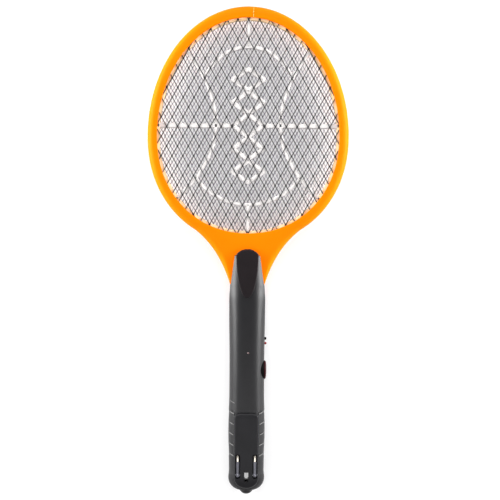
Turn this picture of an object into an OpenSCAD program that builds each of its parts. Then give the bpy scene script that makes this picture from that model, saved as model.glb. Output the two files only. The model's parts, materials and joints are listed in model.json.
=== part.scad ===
// Electric fly swatter. It lies on its back: X across, Y from the lanyard end to the tip of the head,
// Z up out of the mesh, and the origin under the middle of its box.

/* [Head] */
// Length of the whole swatter
length = 530; // [528:1:532]
// Width of the head across its widest line
head_w = 219; // [216:1:222]
// Distance from the widest line to the tip of the head
head_rise = 141.2; // [139:0.2:143]
// Distance from the widest line to the foot of the egg
head_drop = 117.3; // [116:0.1:118]
// Thickness of the head frame
head_t = 16; // [15:0.5:17]
// Width of the rim at the sides
rim_w = 10.6; // [10:0.1:12]
// Width of the rim at the tip
tip_rim_w = 12.8; // [12:0.1:14]
// Width of the rim at the foot
foot_rim_w = 11.6; // [11:0.1:13]
// Wall of the frame halves
head_wall = 2.2; // [2:0.1:2.6]

/* [Meshes and spacers] */
// Width of a diamond in the guard meshes
guard_pitch = 11.8; // [10:0.1:14]
// Width of a strand in the guard meshes
guard_strand = 0.75; // [0.6:0.05:1]
// Thickness of the guard meshes
guard_t = 0.8; // [0.6:0.1:1]
// Width of a diamond in the live mesh
live_pitch = 3.93; // [3.5:0.01:6]
// Width of a strand in the live mesh
live_strand = 0.4; // [0.3:0.05:0.5]
// Thickness of each spacer
spacer_t = 4.2; // [4:0.1:4.4]
// Width of the spacers' ribs
rib_w = 3.6; // [3:0.1:4.5]

/* [Handle] */
// Height of the handle's flat back and front faces
handle_t = 34; // [34:0.5:35]
// Wall of the handle shells
handle_wall = 2; // [1.8:0.1:2.2]
// Radius of the push button
button_r = 10.3; // [9.5:0.1:10.5]
// How far the push button stands out of the side
button_proud = 2.3; // [1.5:0.1:3]
// Radius of the mains pins
pin_r = 2; // [1.9:0.05:2.05]
// Distance between the mains pins
pin_spacing = 18.6; // [18.4:0.1:18.8]

/* [Hidden] */
$fn = 48;

orange = [1, 0.6, 0.04];
cream = [0.93, 0.91, 0.87];
charcoal = [0.24, 0.24, 0.25];
black = [0.13, 0.12, 0.13];
steel = [0.6, 0.6, 0.62];
copper = [0.75, 0.4, 0.2];

// Heights shared by the head and the handle
mid_z = handle_t / 2;
head_top = mid_z + head_t / 2;
live_t = 0.6;
spacer_z = mid_z + live_t / 2;
guard_z = spacer_z + spacer_t;
lip_z = guard_z + guard_t;

// The egg outline: an ellipse above the widest line, a slightly squarer curve below it
head_y = length / 2 - head_rise;
foot_power = 2.1;
egg_steps = 96;
ledge_w = 2.7;
clamp_w = 3;
spacer_rim_w = 5;
past = 1;

// The spacers' ribs: cross bars, two bowed side ribs, two arcs, and a chain of lozenges
rib_y = 135;
waist = 35;
bow_up = 0.0049;
bow_down = 0.0067;
bow_reach = 80;
arc_b = 85.8;
arc_up = [60.8, 37];
arc_down = [76, 41];
lozenge = [20, 13.5];
lozenge_count = 5;
lozenge_w = 4.6;
lozenge_step = 25;

// The diamonds: height over width, and the place of a knot on the centre line
diamond_ratio = 1.797;
knot_y = 250.2;
edge_band = 0.6;
tab_half_w = 2;
tab_end_y = 3;
tab_x = 6;
live_band_w = 1.4;
live_gap = 0.05;
neck_end = -38;
neck_curve = [[80.3, 41.3], [66.3, 24.5], [36.3, 18.4], [18.6, neck_end]];
neck_steps = 14;
tongue_w = 26;
tongue_bore_w = 14;
tongue_t = 12;
tongue_wall = 2;
tongue_end = -62;

// The handle: half widths at stations along Y, then an elliptical end and a small round nub
stations = [
    [-38, 18.7], [-54, 19.5], [-72, 19.5], [-120, 18.9], [-155, 18.9], [-195, 20.1],
    [-238, 18.9], [-247, 19.5]
];
side_steps = 24;
end_y = -247;
end_depth = 13.3;
end_x = 6;
end_steps = 7;
nub_r = 7.8;
nub_y = -257.2;
nub_half_angle = 66;
profile_a = 20.2;
profile_b = 17.6;
profile_steps = 64;
slope_start = -50;
slope_drop = 4.7;
nose_y = 1;
collar = [[18, neck_end], [13.5, -6]];

// The neck cover: a half ellipse with an arched front
cover_half_w = 12.1;
cover_corner_y = -5;
cover_len = 47;
cover_t = 1.5;

// The plug plate and its folding pins
plate_half_w = 13.1;
plate_top_y = -175.4;
plate_arch = 3.1;
plate_end_y = -246;
plate_end_depth = 11.5;
plate_bottom = 26.5;
plate_top = handle_t + 0.5;
pin_x = pin_spacing / 2;
pivot_y = -242.9;
pivot_z = 31.5;
hub_r = 2.5;
sleeve_r = 1.9;
core_r = 1.45;
axle_r = 0.8;
axle_len = 7;
running_gap = 0.05;
fit_gap = 0.15;
tip_y = -221.2;
tip_bevel = 0.6;
contact_t = 0.5;
sleeve_end_y = -228.1;
trough_half_w = 2.6;
trough = [-246.5, -220.5];
trough_floor = 28.6;
lanyard_half_w = 2.2;
lanyard = [-250.9, -241];
lanyard_notch_y = -238.4;
lanyard_wall = 1.5;

// The controls on the right side
button_y = -130;
button_gap = 0.3;
dome_h = 2.4;
button_seat_x = 11;
pocket_r = 4.4;
pocket_x = 15;
push_boss_r = 1.5;
lug_x = 14.2;
lug_t = 1.6;
lug_half = [12.3, 4];
plunger_x = 8;
plunger_r = 1.2;
spring_r = 3.3;
spring_wire_r = 0.35;
spring_turns = 6;
side_cut_x = 13;
side_cut_w = 12;
switch_y = -96;
switch_travel = 3;
knob_half = [1.5, 1.4];
knob_gap = 0.3;
knob_x = 9;
knob_proud = 1.8;
side_lamp_y = -101.2;
side_lamp_r = 1.45;
side_lamp_proud = 2.3;
lamp_base_x = 12;
front_lamp_at = [1.3, -111.1];
front_lamp_r = 1;
nose_lamp_at = [0.3, -7.6];
nose_lamp_r = 0.8;
nose_lamp_top = 30.3;
wire_r = 0.25;

// Screws: shank and head radii, and where they stand
shank_r = 1.3;
screw_head_r = 2.5;
screw_head_h = 1.8;
boss_r = 3.2;
clear_r = 1.55;
pilot_r = 1.35;
head_screw_at = [[-30, 8], [30, 8]];
neck_screw_at = [[-10, -50], [10, -50]];
shell_screw_at = [[-13.6, -100], [0, -156]];
plate_screw_at = [0, -215];
seat_z = 6;
side_seat_z = 9;
screw_tip_z = 27;
screw_gap = 0.3;
head_screw_sink = 0.2;
board_post_r = 2.4;
board_screw_r = 0.85;
board_screw_len = 5;

// The board and what stands on it
board = [[-10, -150], [8.5, -64]];
board_z = 10;
board_t = 1.6;
board_top = board_z + board_t;
board_screw_at = [[-6, -146], [-6, -68]];
core_at = [-1, -77, board_top + 5.7];
battery_at = [-208, -160];
lead_r = 0.6;

// --- shapes ---------------------------------------------------------------------------------

// A power that keeps the sign of its base
function signed_power(v, p) = sign(v) * pow(abs(v), p);

// The egg outline pulled in by inset on every side
function egg(inset) = [
    for (i = [0:egg_steps - 1])
        let (t = 360 * i / egg_steps)
        [0, head_y] + (sin(t) >= 0
            ? [(head_w / 2 - inset) * cos(t), (head_rise - inset) * sin(t)]
            : [(head_w / 2 - inset) * signed_power(cos(t), 2 / foot_power),
               (head_drop - inset) * signed_power(sin(t), 2 / foot_power)])
];

// The outline of the head's opening grown by grow on every side
function opening(grow) = [
    for (i = [0:egg_steps - 1])
        let (t = 360 * i / egg_steps, a = head_w / 2 - rim_w + grow)
        [0, head_y] + (sin(t) >= 0
            ? [a * cos(t), (head_rise - tip_rim_w + grow) * sin(t)]
            : [a * signed_power(cos(t), 2 / foot_power),
               (head_drop - foot_rim_w + grow) * signed_power(sin(t), 2 / foot_power)])
];

function bezier(p, t) =
    pow(1 - t, 3) * p[0] + 3 * pow(1 - t, 2) * t * p[1] + 3 * (1 - t) * t * t * p[2] + t * t * t * p[3];

function bezier_way(p, t) =
    pow(1 - t, 2) * (p[1] - p[0]) + 2 * (1 - t) * t * (p[2] - p[1]) + t * t * (p[3] - p[2]);

// The neck's right side moved inwards by inset
function neck_side(inset) = [
    for (i = [0:neck_steps])
        let (t = i / neck_steps, way = bezier_way(neck_curve, t) / norm(bezier_way(neck_curve, t)),
             p = bezier(neck_curve, t) + inset * [way[1], -way[0]])
        [p[0], max(p[1], neck_end + inset)]
];

// A closed outline from its right side, listed from top to bottom
function both_sides(side) = concat(side, [for (i = [len(side) - 1:-1:0]) [-side[i][0], side[i][1]]]);

function ease(t) = (1 - cos(180 * t)) / 2;

// The handle's half width at y, eased from one station to the next
function handle_half_w(y) =
    let (found = [for (i = [0:len(stations) - 2]) if (y <= stations[i][0] && y >= stations[i + 1][0]) i],
         a = stations[found[0]], b = stations[found[0] + 1])
    a[1] + (b[1] - a[1]) * ease((y - a[0]) / (b[0] - a[0]));

// Where the button's straight side ends and its dome begins
button_base_x = handle_half_w(button_y) + button_proud - dome_h;

// The handle's plan, pulled in by inset, with the nub on the outer one only
function handle_plan(inset) = both_sides(concat(
    [for (i = [0:side_steps])
        let (y = neck_end + (end_y - neck_end) * i / side_steps)
        [handle_half_w(y) - inset, min(y, neck_end - inset)]],
    [for (i = [1:end_steps])
        let (t = 84 * i / end_steps)
        [end_x + (handle_half_w(end_y) - end_x - inset) * cos(t), end_y - (end_depth - inset) * sin(t)]],
    inset > 0 ? [] : [for (i = [1:6])
        let (t = nub_half_angle * (1 - i / 6))
        [nub_r * sin(t), nub_y - nub_r * cos(t)]]
));

function cover_outline(grow) = both_sides(concat(
    [for (i = [6:-1:0])
        let (chord = cover_half_w + grow, rise = nose_y - cover_corner_y,
             r = (chord * chord + rise * rise) / (2 * rise), t = asin(chord / r) * (1 - i / 6))
        [r * sin(t), nose_y + grow - r + r * cos(t)]],
    [for (i = [1:11])
        let (t = 90 * i / 12)
        [(cover_half_w + grow) * cos(t), cover_corner_y - (cover_len + grow) * sin(t)]]
));

function plate_outline(grow) = both_sides(concat(
    [for (i = [0:5])
        let (x = (plate_half_w + grow) * i / 5)
        [x, plate_top_y + grow - plate_arch * pow(x / plate_half_w, 4)]],
    [for (i = [0:9])
        let (t = 88 * i / 9)
        [(plate_half_w + grow) * cos(t), plate_end_y - (plate_end_depth + grow) * sin(t)]]
));

// A band of width w along a line of points
function band(p, w) =
    let (n = len(p) - 1,
         side = [for (i = [0:n])
            let (way = p[min(i + 1, n)] - p[max(i - 1, 0)])
            w / 2 * [-way[1], way[0]] / norm(way)])
    concat([for (i = [0:n]) p[i] + side[i]], [for (i = [n:-1:0]) p[i] - side[i]]);

module slab(points, z0, z1) {
    translate([0, 0, z0]) linear_extrude(z1 - z0) polygon(points);
}

module block(low, high) {
    translate(low) cube(high - low);
}

module rod_x(at, r, len) {
    translate(at) rotate([0, 90, 0]) cylinder(r = r, h = len);
}

module rod_y(at, r, len) {
    translate(at) rotate([-90, 0, 0]) cylinder(r = r, h = len);
}

module rod_z(at, r, len) {
    translate(at) cylinder(r = r, h = len);
}

// Turns a part over about the parting plane
module turned_over() {
    translate([0, 0, 2 * mid_z]) mirror([0, 0, 1]) children();
}

// A round lead swept along its route
module lead(route, r) {
    sides = 8;
    n = len(route) - 1;
    rings = [for (i = [0:n])
        let (way = route[min(i + 1, n)] - route[max(i - 1, 0)],
             across = cross(way, [0.31, 0.17, 0.93]), u = across / norm(across),
             v = cross(way, u) / norm(way))
        for (k = [0:sides - 1]) route[i] + r * (u * cos(360 * k / sides) + v * sin(360 * k / sides))];
    walls = [for (i = [0:n - 1]) for (k = [0:sides - 1])
        [i * sides + k, i * sides + (k + 1) % sides, (i + 1) * sides + (k + 1) % sides, (i + 1) * sides + k]];
    polyhedron(rings, concat(walls,
        [[for (k = [sides - 1:-1:0]) k]], [[for (k = [0:sides - 1]) n * sides + k]]));
}

module screw(at, seat_z, tip_z) {
    rod_z([at[0], at[1], seat_z - screw_head_h], screw_head_r, screw_head_h);
    rod_z([at[0], at[1], seat_z], shank_r, tip_z - seat_z);
}

// --- head -----------------------------------------------------------------------------------

module head_half() {
    difference() {
        union() {
            difference() {
                union() {
                    slab(egg(0), mid_z, head_top);
                    slab(both_sides(neck_side(0)), mid_z, head_top);
                }
                slab(egg(head_wall), mid_z - 1, lip_z);
                slab(both_sides(neck_side(head_wall)), mid_z - 1, lip_z);
            }
            block([-tongue_w / 2, tongue_end, mid_z],
                  [tongue_w / 2, neck_end + head_wall, mid_z + tongue_t / 2]);
            for (at = head_screw_at)
                rod_z([at[0], at[1], mid_z], boss_r, lip_z - mid_z + 1);
        }
        slab(opening(0), mid_z - 2, head_top + 1);
        block([-tongue_bore_w / 2, tongue_end - 1, mid_z - 1],
              [tongue_bore_w / 2, neck_end + 2 * head_wall, mid_z + tongue_t / 2 - tongue_wall]);
        for (at = neck_screw_at)
            rod_z([at[0], at[1], mid_z - 1], clear_r, tongue_t);
    }
}

module head_frame_front() color(orange) difference() {
    head_half();
    for (at = head_screw_at)
        rod_z([at[0], at[1], mid_z - 1], pilot_r, lip_z - mid_z);
}

module head_frame_back() color(orange) difference() {
    turned_over() head_half();
    for (at = head_screw_at) {
        rod_z([at[0], at[1], 0], clear_r, mid_z + 1);
        rod_z([at[0], at[1], 0], screw_head_r + screw_gap, mid_z - head_t / 2 + screw_head_h + head_screw_sink);
    }
}

module head_screws() color(steel)
    for (at = head_screw_at)
        screw(at, mid_z - head_t / 2 + screw_head_h + head_screw_sink, lip_z - past);

module rib(points) {
    slab(band(points, rib_w), 0, spacer_t);
}

module ribs() {
    for (side = [-1, 1]) {
        rib([[side * (lozenge[0] - lozenge_w), rib_y], [side * (head_w / 2 - rim_w + past), rib_y]]);
        rib([for (i = [0:16])
            let (dy = bow_reach * (1 - i / 8))
            [side * (waist + (dy > 0 ? bow_up : bow_down) * dy * dy), rib_y + dy]]);
    }
    rib([[0, rib_y + arc_b], [0, length / 2 - tip_rim_w + past]]);
    rib([[0, head_y - head_drop + foot_rim_w - past], [0, rib_y - arc_b]]);
    for (way = [1, -1]) {
        arc = way > 0 ? arc_up : arc_down;
        rib([for (i = [0:12])
            let (t = arc[1] + (180 - 2 * arc[1]) * i / 12)
            [arc[0] * cos(t), rib_y + way * arc_b * sin(t)]]);
    }
    for (i = [0:lozenge_count - 1])
        translate([0, rib_y + lozenge_step * (i - (lozenge_count - 1) / 2), 0]) difference() {
            slab([[lozenge[0], 0], [0, lozenge[1]], [-lozenge[0], 0], [0, -lozenge[1]]], 0, spacer_t);
            slab([[lozenge[0] - 2 * lozenge_w, 0], [0, lozenge[1] - lozenge_w], [2 * lozenge_w - lozenge[0], 0],
                  [0, lozenge_w - lozenge[1]]], -1, spacer_t + 1);
        }
}

module spacer() {
    intersection() {
        union() {
            difference() {
                slab(opening(spacer_rim_w), 0, spacer_t);
                slab(opening(-ledge_w), -1, spacer_t + 1);
            }
            ribs();
        }
        slab(opening(spacer_rim_w), -1, spacer_t + 1);
    }
}

module front_spacer() color(cream) translate([0, 0, spacer_z]) spacer();

module back_spacer() color(cream) turned_over() translate([0, 0, spacer_z]) spacer();

module guard_mesh(tab) {
    pitch_y = guard_pitch * diamond_ratio;
    side = norm([guard_pitch, pitch_y]) / 2;
    shrink = 1 - guard_strand * side / (guard_pitch * pitch_y / 2);
    rows = ceil((head_rise + head_drop) / pitch_y * 2);
    columns = ceil(head_w / guard_pitch / 2);
    difference() {
        union() {
            slab(opening(clamp_w), 0, guard_t);
            block([tab - tab_half_w, tab_end_y, 0],
                  [tab + tab_half_w, head_y - head_drop + foot_rim_w - clamp_w + 0.5, guard_t]);
        }
        intersection() {
            slab(opening(edge_band), -1, guard_t + 1);
            union() for (row = [0:rows]) for (column = [-columns:columns])
                let (x = (column + (row % 2 == 0 ? 0.5 : 0)) * guard_pitch, y = knot_y - row * pitch_y / 2,
                     up = y > head_y,
                     u = x / (head_w / 2 - rim_w),
                     v = (y - head_y) / (up ? head_rise - tip_rim_w : head_drop - foot_rim_w))
                if (u * u + v * v < 1.16)
                    translate([x, y, 0])
                        slab(shrink / 2 * [[guard_pitch, 0], [0, pitch_y], [-guard_pitch, 0], [0, -pitch_y]],
                             -1, guard_t + 1);
        }
    }
}

module front_mesh() color(charcoal) translate([0, 0, guard_z]) guard_mesh(-tab_x);

module back_mesh() color(charcoal) turned_over() translate([0, 0, guard_z]) guard_mesh(tab_x);

module live_strands(turn, z) {
    reach = ceil((head_w / 2 + (head_rise + head_drop) / 2 / diamond_ratio) / live_pitch);
    for (i = [-reach:reach])
        translate([i * live_pitch, head_y, z]) rotate([0, 0, turn])
            cube([live_strand, 2 * head_w, live_t / 2 - live_gap], center = true);
}

module centre_mesh() color(steel) translate([0, 0, mid_z]) {
    turn = atan(1 / diamond_ratio);
    difference() {
        union() {
            slab(opening(clamp_w), -live_t / 2, live_t / 2);
            block([-tab_half_w, tab_end_y, -live_t / 2],
                  [tab_half_w, head_y - head_drop + foot_rim_w - clamp_w + 0.5, live_t / 2]);
        }
        slab(opening(clamp_w - live_band_w), -live_t, live_t);
    }
    intersection() {
        slab(opening(clamp_w - live_band_w - live_gap), -live_t, live_t);
        union() {
            live_strands(turn, live_t / 4);
            live_strands(-turn, -live_t / 4);
        }
    }
}

// --- handle shells --------------------------------------------------------------------------

// The space under a level top that slopes down towards the head
module under_slope(drop, z0) {
    y0 = -length;
    rotate([90, 0, 90]) translate([0, 0, -head_w]) linear_extrude(2 * head_w)
        polygon([[y0, z0], [nose_y + 5, z0], [nose_y + 5, handle_t - slope_drop - 0.5 - drop],
                 [slope_start, handle_t - drop], [y0, handle_t - drop]]);
}

module oval_bar(inset) {
    translate([0, nose_y + 5, mid_z]) rotate([90, 0, 0]) linear_extrude(length)
        polygon([for (i = [0:profile_steps - 1])
            let (t = 360 * (i + 0.5) / profile_steps)
            [(profile_a - inset) * cos(t), (profile_b - inset) * sin(t)]]);
}

// The upper half of the handle's outer form, pulled in by inset
module handle_form(inset) {
    intersection() {
        oval_bar(inset);
        slab(handle_plan(inset), mid_z - 1, handle_t + 1);
        under_slope(inset, mid_z - (inset > 0 ? 1 : 0));
    }
}

module collar_form() {
    intersection() {
        oval_bar(0);
        slab(both_sides([collar[1], collar[0], [collar[0][0], neck_end - 0.5]]), head_top, handle_t + 1);
        under_slope(0, 0);
    }
}

// Half of the handle with the inner bosses given as its children
module shell_half() {
    difference() {
        union() {
            difference() {
                handle_form(0);
                handle_form(handle_wall);
            }
            collar_form();
            intersection() {
                handle_form(handle_wall / 2);
                children();
            }
        }
        block([-tongue_w / 2 - fit_gap, tongue_end, mid_z - 1],
              [tongue_w / 2 + fit_gap, neck_end + 1, mid_z + tongue_t / 2 + fit_gap]);
    }
}

module bosses() {
    for (at = neck_screw_at)
        rod_z([at[0], at[1], mid_z + tongue_t / 2 + fit_gap], boss_r, handle_t);
    for (at = shell_screw_at)
        rod_z([at[0], at[1], mid_z], boss_r, handle_t);
}

// The cuts in the right side for the button, the lamp and the switch's knob
module side_openings() {
    rod_x([side_cut_x, button_y, mid_z], button_r + button_gap, side_cut_w);
    rod_x([side_cut_x, side_lamp_y, mid_z], side_lamp_r + running_gap, side_cut_w);
    block([side_cut_x, switch_y - knob_half[0] - knob_gap, mid_z - knob_half[1] - knob_gap],
          [side_cut_x + side_cut_w, switch_y + switch_travel + knob_half[0] + knob_gap,
           mid_z + knob_half[1] + knob_gap]);
}

module lanyard_slot(grow, z0, z1) {
    slab(both_sides([[lanyard_half_w + grow, lanyard[1] + grow],
                     [lanyard_half_w + grow, lanyard[0] + 2],
                     [0.8 + grow, lanyard[0] - grow]]), z0, z1);
}

function screw_seat(at) = at[0] == shell_screw_at[0][0] ? side_seat_z : seat_z;

module cover_recess() {
    difference() {
        slab(cover_outline(0.1), head_top, handle_t + 1);
        under_slope(cover_t + 0.05, 0);
    }
}

module handle_front_shell() color(charcoal) difference() {
    shell_half() bosses();
    slab(plate_outline(fit_gap), plate_bottom - 0.1, handle_t + 1);
    cover_recess();
    side_openings();
    rod_z([front_lamp_at[0], front_lamp_at[1], mid_z], front_lamp_r + running_gap, handle_t);
    rod_z([nose_lamp_at[0], nose_lamp_at[1], mid_z], nose_lamp_r + running_gap, handle_t);
    for (at = concat(neck_screw_at, shell_screw_at))
        rod_z([at[0], at[1], mid_z - past], pilot_r, screw_tip_z - mid_z + 2 * past);
}

module handle_back_shell() color(charcoal) difference() {
    union() {
        turned_over() shell_half() {
            bosses();
            rod_z([plate_screw_at[0], plate_screw_at[1], mid_z], boss_r, handle_t);
        }
        lanyard_slot(lanyard_wall, handle_wall / 2, plate_bottom);
        for (at = board_screw_at)
            rod_z([at[0], at[1], handle_wall / 2], board_post_r, board_z - handle_wall / 2);
    }
    lanyard_slot(0, -1, handle_t + 1);
    side_openings();
    for (at = concat(neck_screw_at, shell_screw_at, [plate_screw_at])) {
        rod_z([at[0], at[1], 0], clear_r, mid_z + 1);
        rod_z([at[0], at[1], -past], screw_head_r + screw_gap, screw_seat(at) + past);
    }
    for (at = board_screw_at)
        rod_z([at[0], at[1], board_z - board_screw_len - past], board_screw_r + 2 * running_gap,
              board_screw_len + 2 * past);
}

module neck_cover() color(black) difference() {
    intersection() {
        slab(cover_outline(0), head_top, handle_t + 1);
        under_slope(0, 0);
    }
    intersection() {
        under_slope(cover_t, 0);
        block([-head_w, -length, 0], [head_w, collar[1][1] + fit_gap, handle_t]);
    }
    rod_z([nose_lamp_at[0], nose_lamp_at[1], mid_z], nose_lamp_r + running_gap, handle_t);
}

module handle_screws() color(steel)
    for (at = concat(neck_screw_at, shell_screw_at, [plate_screw_at]))
        screw(at, screw_seat(at), screw_tip_z);

// --- mains plug -----------------------------------------------------------------------------

module plug_plate() color(black) difference() {
    union() {
        slab(plate_outline(0), plate_bottom, plate_top);
        rod_z([plate_screw_at[0], plate_screw_at[1], mid_z], boss_r, plate_bottom - mid_z + 1);
    }
    for (side = [-1, 1]) {
        block([side * pin_x - trough_half_w, trough[0], trough_floor],
              [side * pin_x + trough_half_w, trough[1], plate_top + 1]);
        block([side * pin_x - 1.1, pivot_y - 1.2, plate_bottom - 1],
              [side * pin_x + 1.1, pivot_y + 1.2, trough_floor + 1]);
        rod_x([side * pin_x - axle_len / 2, pivot_y, pivot_z], axle_r, axle_len);
    }
    lanyard_slot(0, plate_bottom - 1, plate_top + 1);
    block([-lanyard_half_w, lanyard[1] - 1, 30], [lanyard_half_w, lanyard_notch_y, plate_top + 1]);
    rod_z([plate_screw_at[0], plate_screw_at[1], mid_z - 1], pilot_r, screw_tip_z - mid_z + 2);
}

module pin_core(side) {
    at = [side * pin_x, pivot_y, pivot_z];
    difference() {
        union() {
            rod_y(at - [0, core_r, 0], core_r, sleeve_end_y - pivot_y + core_r + 1);
            rod_y([at[0], sleeve_end_y, pivot_z], pin_r, tip_y - sleeve_end_y - tip_bevel);
            translate([at[0], tip_y - tip_bevel, pivot_z]) rotate([-90, 0, 0])
                cylinder(r1 = pin_r, r2 = pin_r - tip_bevel, h = tip_bevel);
        }
        rod_x(at - [pin_r, 0, 0], axle_r + running_gap, 2 * pin_r);
    }
}

// A round hub and a tube in one turned profile, with the cross hole for its axle
module pin_sleeve(side) {
    at = [side * pin_x, pivot_y, pivot_z];
    tube_len = sleeve_end_y - pivot_y - running_gap;
    difference() {
        translate(at) rotate([-90, 0, 0]) rotate([0, 0, 45]) rotate_extrude() difference() {
            union() {
                intersection() {
                    circle(r = hub_r);
                    translate([0, -hub_r]) square([hub_r, 2 * hub_r]);
                }
                square([sleeve_r, tube_len]);
            }
            translate([0, -core_r - running_gap]) square([core_r + running_gap, tube_len + hub_r]);
        }
        rod_x(at - [hub_r + past, 0, 0], axle_r + running_gap, 2 * (hub_r + past));
    }
}

module left_pin() color([0.8, 0.78, 0.74]) pin_core(-1);

module right_pin() color([0.8, 0.78, 0.74]) pin_core(1);

module left_pin_sleeve() color([0.48, 0.48, 0.5]) pin_sleeve(-1);

module right_pin_sleeve() color([0.48, 0.48, 0.5]) pin_sleeve(1);

module pin_axles() color(steel)
    for (side = [-1, 1])
        rod_x([side * pin_x - axle_len / 2, pivot_y, pivot_z], axle_r, axle_len);

// Each strip lies under the plate, with a lug up to the hub
module pin_contacts() color(copper)
    for (side = [-1, 1]) {
        block([side * pin_x - 1.5, pivot_y - 3, plate_bottom - contact_t],
              [side * pin_x + 1.5, pivot_y + 10, plate_bottom]);
        block([side * pin_x - 0.9, pivot_y - 1, plate_bottom - contact_t],
              [side * pin_x + 0.9, pivot_y + 1, pivot_z - hub_r - 0.4]);
    }

// --- controls -------------------------------------------------------------------------------

module push_button() color(black) {
    difference() {
        union() {
            rod_x([button_seat_x, button_y, mid_z], button_r, button_base_x - button_seat_x);
            block([lug_x, button_y - lug_half[0], mid_z - lug_half[1]],
                  [lug_x + lug_t, button_y + lug_half[0], mid_z + lug_half[1]]);
        }
        rod_x([button_seat_x - past, button_y, mid_z], pocket_r, pocket_x - button_seat_x + past);
    }
    rod_x([button_seat_x, button_y, mid_z], push_boss_r, pocket_x - button_seat_x + past);
}

module button_cap() color([0.45, 0.05, 0.07]) {
    dome_r = (button_r * button_r + dome_h * dome_h) / (2 * dome_h);
    intersection() {
        translate([button_base_x + dome_h - dome_r, button_y, mid_z]) sphere(r = dome_r, $fn = 128);
        rod_x([button_base_x, button_y, mid_z], button_r + past, dome_h + past);
    }
}

// The return spring's turns, as separate rings
module button_spring() color(steel)
    for (i = [0:spring_turns - 1])
        translate([plunger_x + 0.5 + (pocket_x - plunger_x - 1) * i / (spring_turns - 1), button_y, mid_z])
            rotate([0, 90, 0]) rotate_extrude() translate([spring_r, 0]) circle(r = spring_wire_r, $fn = 24);

module trigger_switch() color(black) difference() {
    block([2, button_y - 6, board_top], [plunger_x, button_y + 6, mid_z + 5]);
    rod_x([3, button_y, mid_z], plunger_r + 0.1, 6);
}

module trigger_plunger() color([0.7, 0.2, 0.15])
    rod_x([plunger_x - 2, button_y, mid_z], plunger_r, button_seat_x - plunger_x + 2);

module slide_switch_body() color(steel) difference() {
    block([3, switch_y - 3, board_top], [side_cut_x, switch_y + 9, mid_z + 3.4]);
    block([knob_x - 0.5, switch_y - knob_half[0] - 2 * knob_gap, mid_z - knob_half[1] - knob_gap],
          [side_cut_x + past, switch_y + switch_travel + knob_half[0] + 2 * knob_gap,
           mid_z + knob_half[1] + knob_gap]);
}

module slide_switch_knob() color(black)
    block([knob_x, switch_y - knob_half[0], mid_z - knob_half[1]],
          [handle_half_w(switch_y) + knob_proud, switch_y + knob_half[0], mid_z + knob_half[1]]);

module side_lamp() color([0.75, 0.08, 0.08]) {
    dome_x = handle_half_w(side_lamp_y) + side_lamp_proud - side_lamp_r;
    rod_x([lamp_base_x, side_lamp_y, mid_z], side_lamp_r, dome_x - lamp_base_x);
    translate([dome_x, side_lamp_y, mid_z]) sphere(r = side_lamp_r);
    rod_x([lamp_base_x, side_lamp_y, mid_z], side_lamp_r + 0.25, 1.2);
    for (z = [-0.7, 0.7])
        rod_x([lamp_base_x - 5, side_lamp_y, mid_z + z], wire_r, 6);
}

// A lamp with a round top that stands along Z
module upright_lamp(at, r, z0, z1) {
    rod_z([at[0], at[1], z0], r, z1 - r - z0);
    translate([at[0], at[1], z1 - r]) sphere(r = r);
}

module front_lamp() color([0.75, 0.3, 0.25]) {
    upright_lamp(front_lamp_at, front_lamp_r, 26, handle_t + 0.2);
    for (y = [-0.5, 0.5])
        rod_z([front_lamp_at[0], front_lamp_at[1] + y, board_top + running_gap], wire_r, 15);
}

module nose_lamp() color([0.6, 0.3, 0.28])
    upright_lamp(nose_lamp_at, nose_lamp_r, head_top + 0.2, nose_lamp_top);

// --- circuit --------------------------------------------------------------------------------

module circuit_board() color([0.1, 0.4, 0.2]) difference() {
    block([board[0][0], board[0][1], board_z], [board[1][0], board[1][1], board_top]);
    for (at = board_screw_at)
        rod_z([at[0], at[1], board_z - past], board_screw_r + 0.25, board_t + 2 * past);
}

module board_screws() color(steel)
    for (at = board_screw_at) {
        rod_z([at[0], at[1], board_z - board_screw_len], board_screw_r, board_t + board_screw_len);
        rod_z([at[0], at[1], board_top], 1.9, 1.4);
    }

module transformer_core() color([0.3, 0.3, 0.32]) translate(core_at) difference() {
    cube([16, 14, 5], center = true);
    for (side = [-1, 1])
        translate([side * 4, 0, 0]) cube([3, 9, 6], center = true);
}

module transformer_winding() color(copper) translate(core_at) difference() {
    cube([10.8, 8.8, 11.2], center = true);
    cube([5.2, 10, 5.2], center = true);
}

module storage_capacitor() color([0.75, 0.15, 0.1])
    block([-9, -107, board_top], [-1, -88, board_top + 13]);

module dropper_capacitor() color([0.8, 0.55, 0.1])
    block([-9, -141, board_top], [-1.5, -127, board_top + 10]);

module resistors() color([0.75, 0.65, 0.45])
    for (i = [0:3])
        rod_x([-8.5, -112 - 3.4 * i, board_top + 1.3], 1.2, 6.5);

module diodes() color(black)
    for (i = [0:1])
        for (j = [0:1])
            rod_y([4 + 3.2 * i, -108 - 9 * j, board_top + 1.3], 1.2, 5);

module transistor() color(black)
    block([4, -68.5, board_top], [8, -65.5, board_top + 8]);

module battery() color([0.25, 0.3, 0.5]) {
    block([-13.4, battery_at[0], 7.5], [13.4, battery_at[1], plate_bottom - 0.2]);
    for (x = [-5, 5])
        block([x - 1.5, battery_at[1], 21], [x + 1.5, battery_at[1] + 1.5, 23]);
}

module battery_leads() color([0.7, 0.1, 0.1])
    for (side = [-1, 1])
        lead([[5 * side, -158.4, 22], [5 * side, -156, 21], [5 * side, -153, 16], [5 * side, -150, 13],
              [5 * side, -148, 12.4]], lead_r);

module mains_leads() color([0.2, 0.2, 0.22])
    for (side = [-1, 1])
        lead([[9.3 * side, -233, 25.2], [11, -226, 24] - [side < 0 ? 22 : 0, 0, 0],
              [side * 14, -215, 19], [side * 15.2, -208, 17], [side * 15.2, -185, 17], [side * 15.2, -162, 17],
              [side * 12.5, -154, 15], [side * 7.8, -148.5, 12.5]], lead_r);

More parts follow.
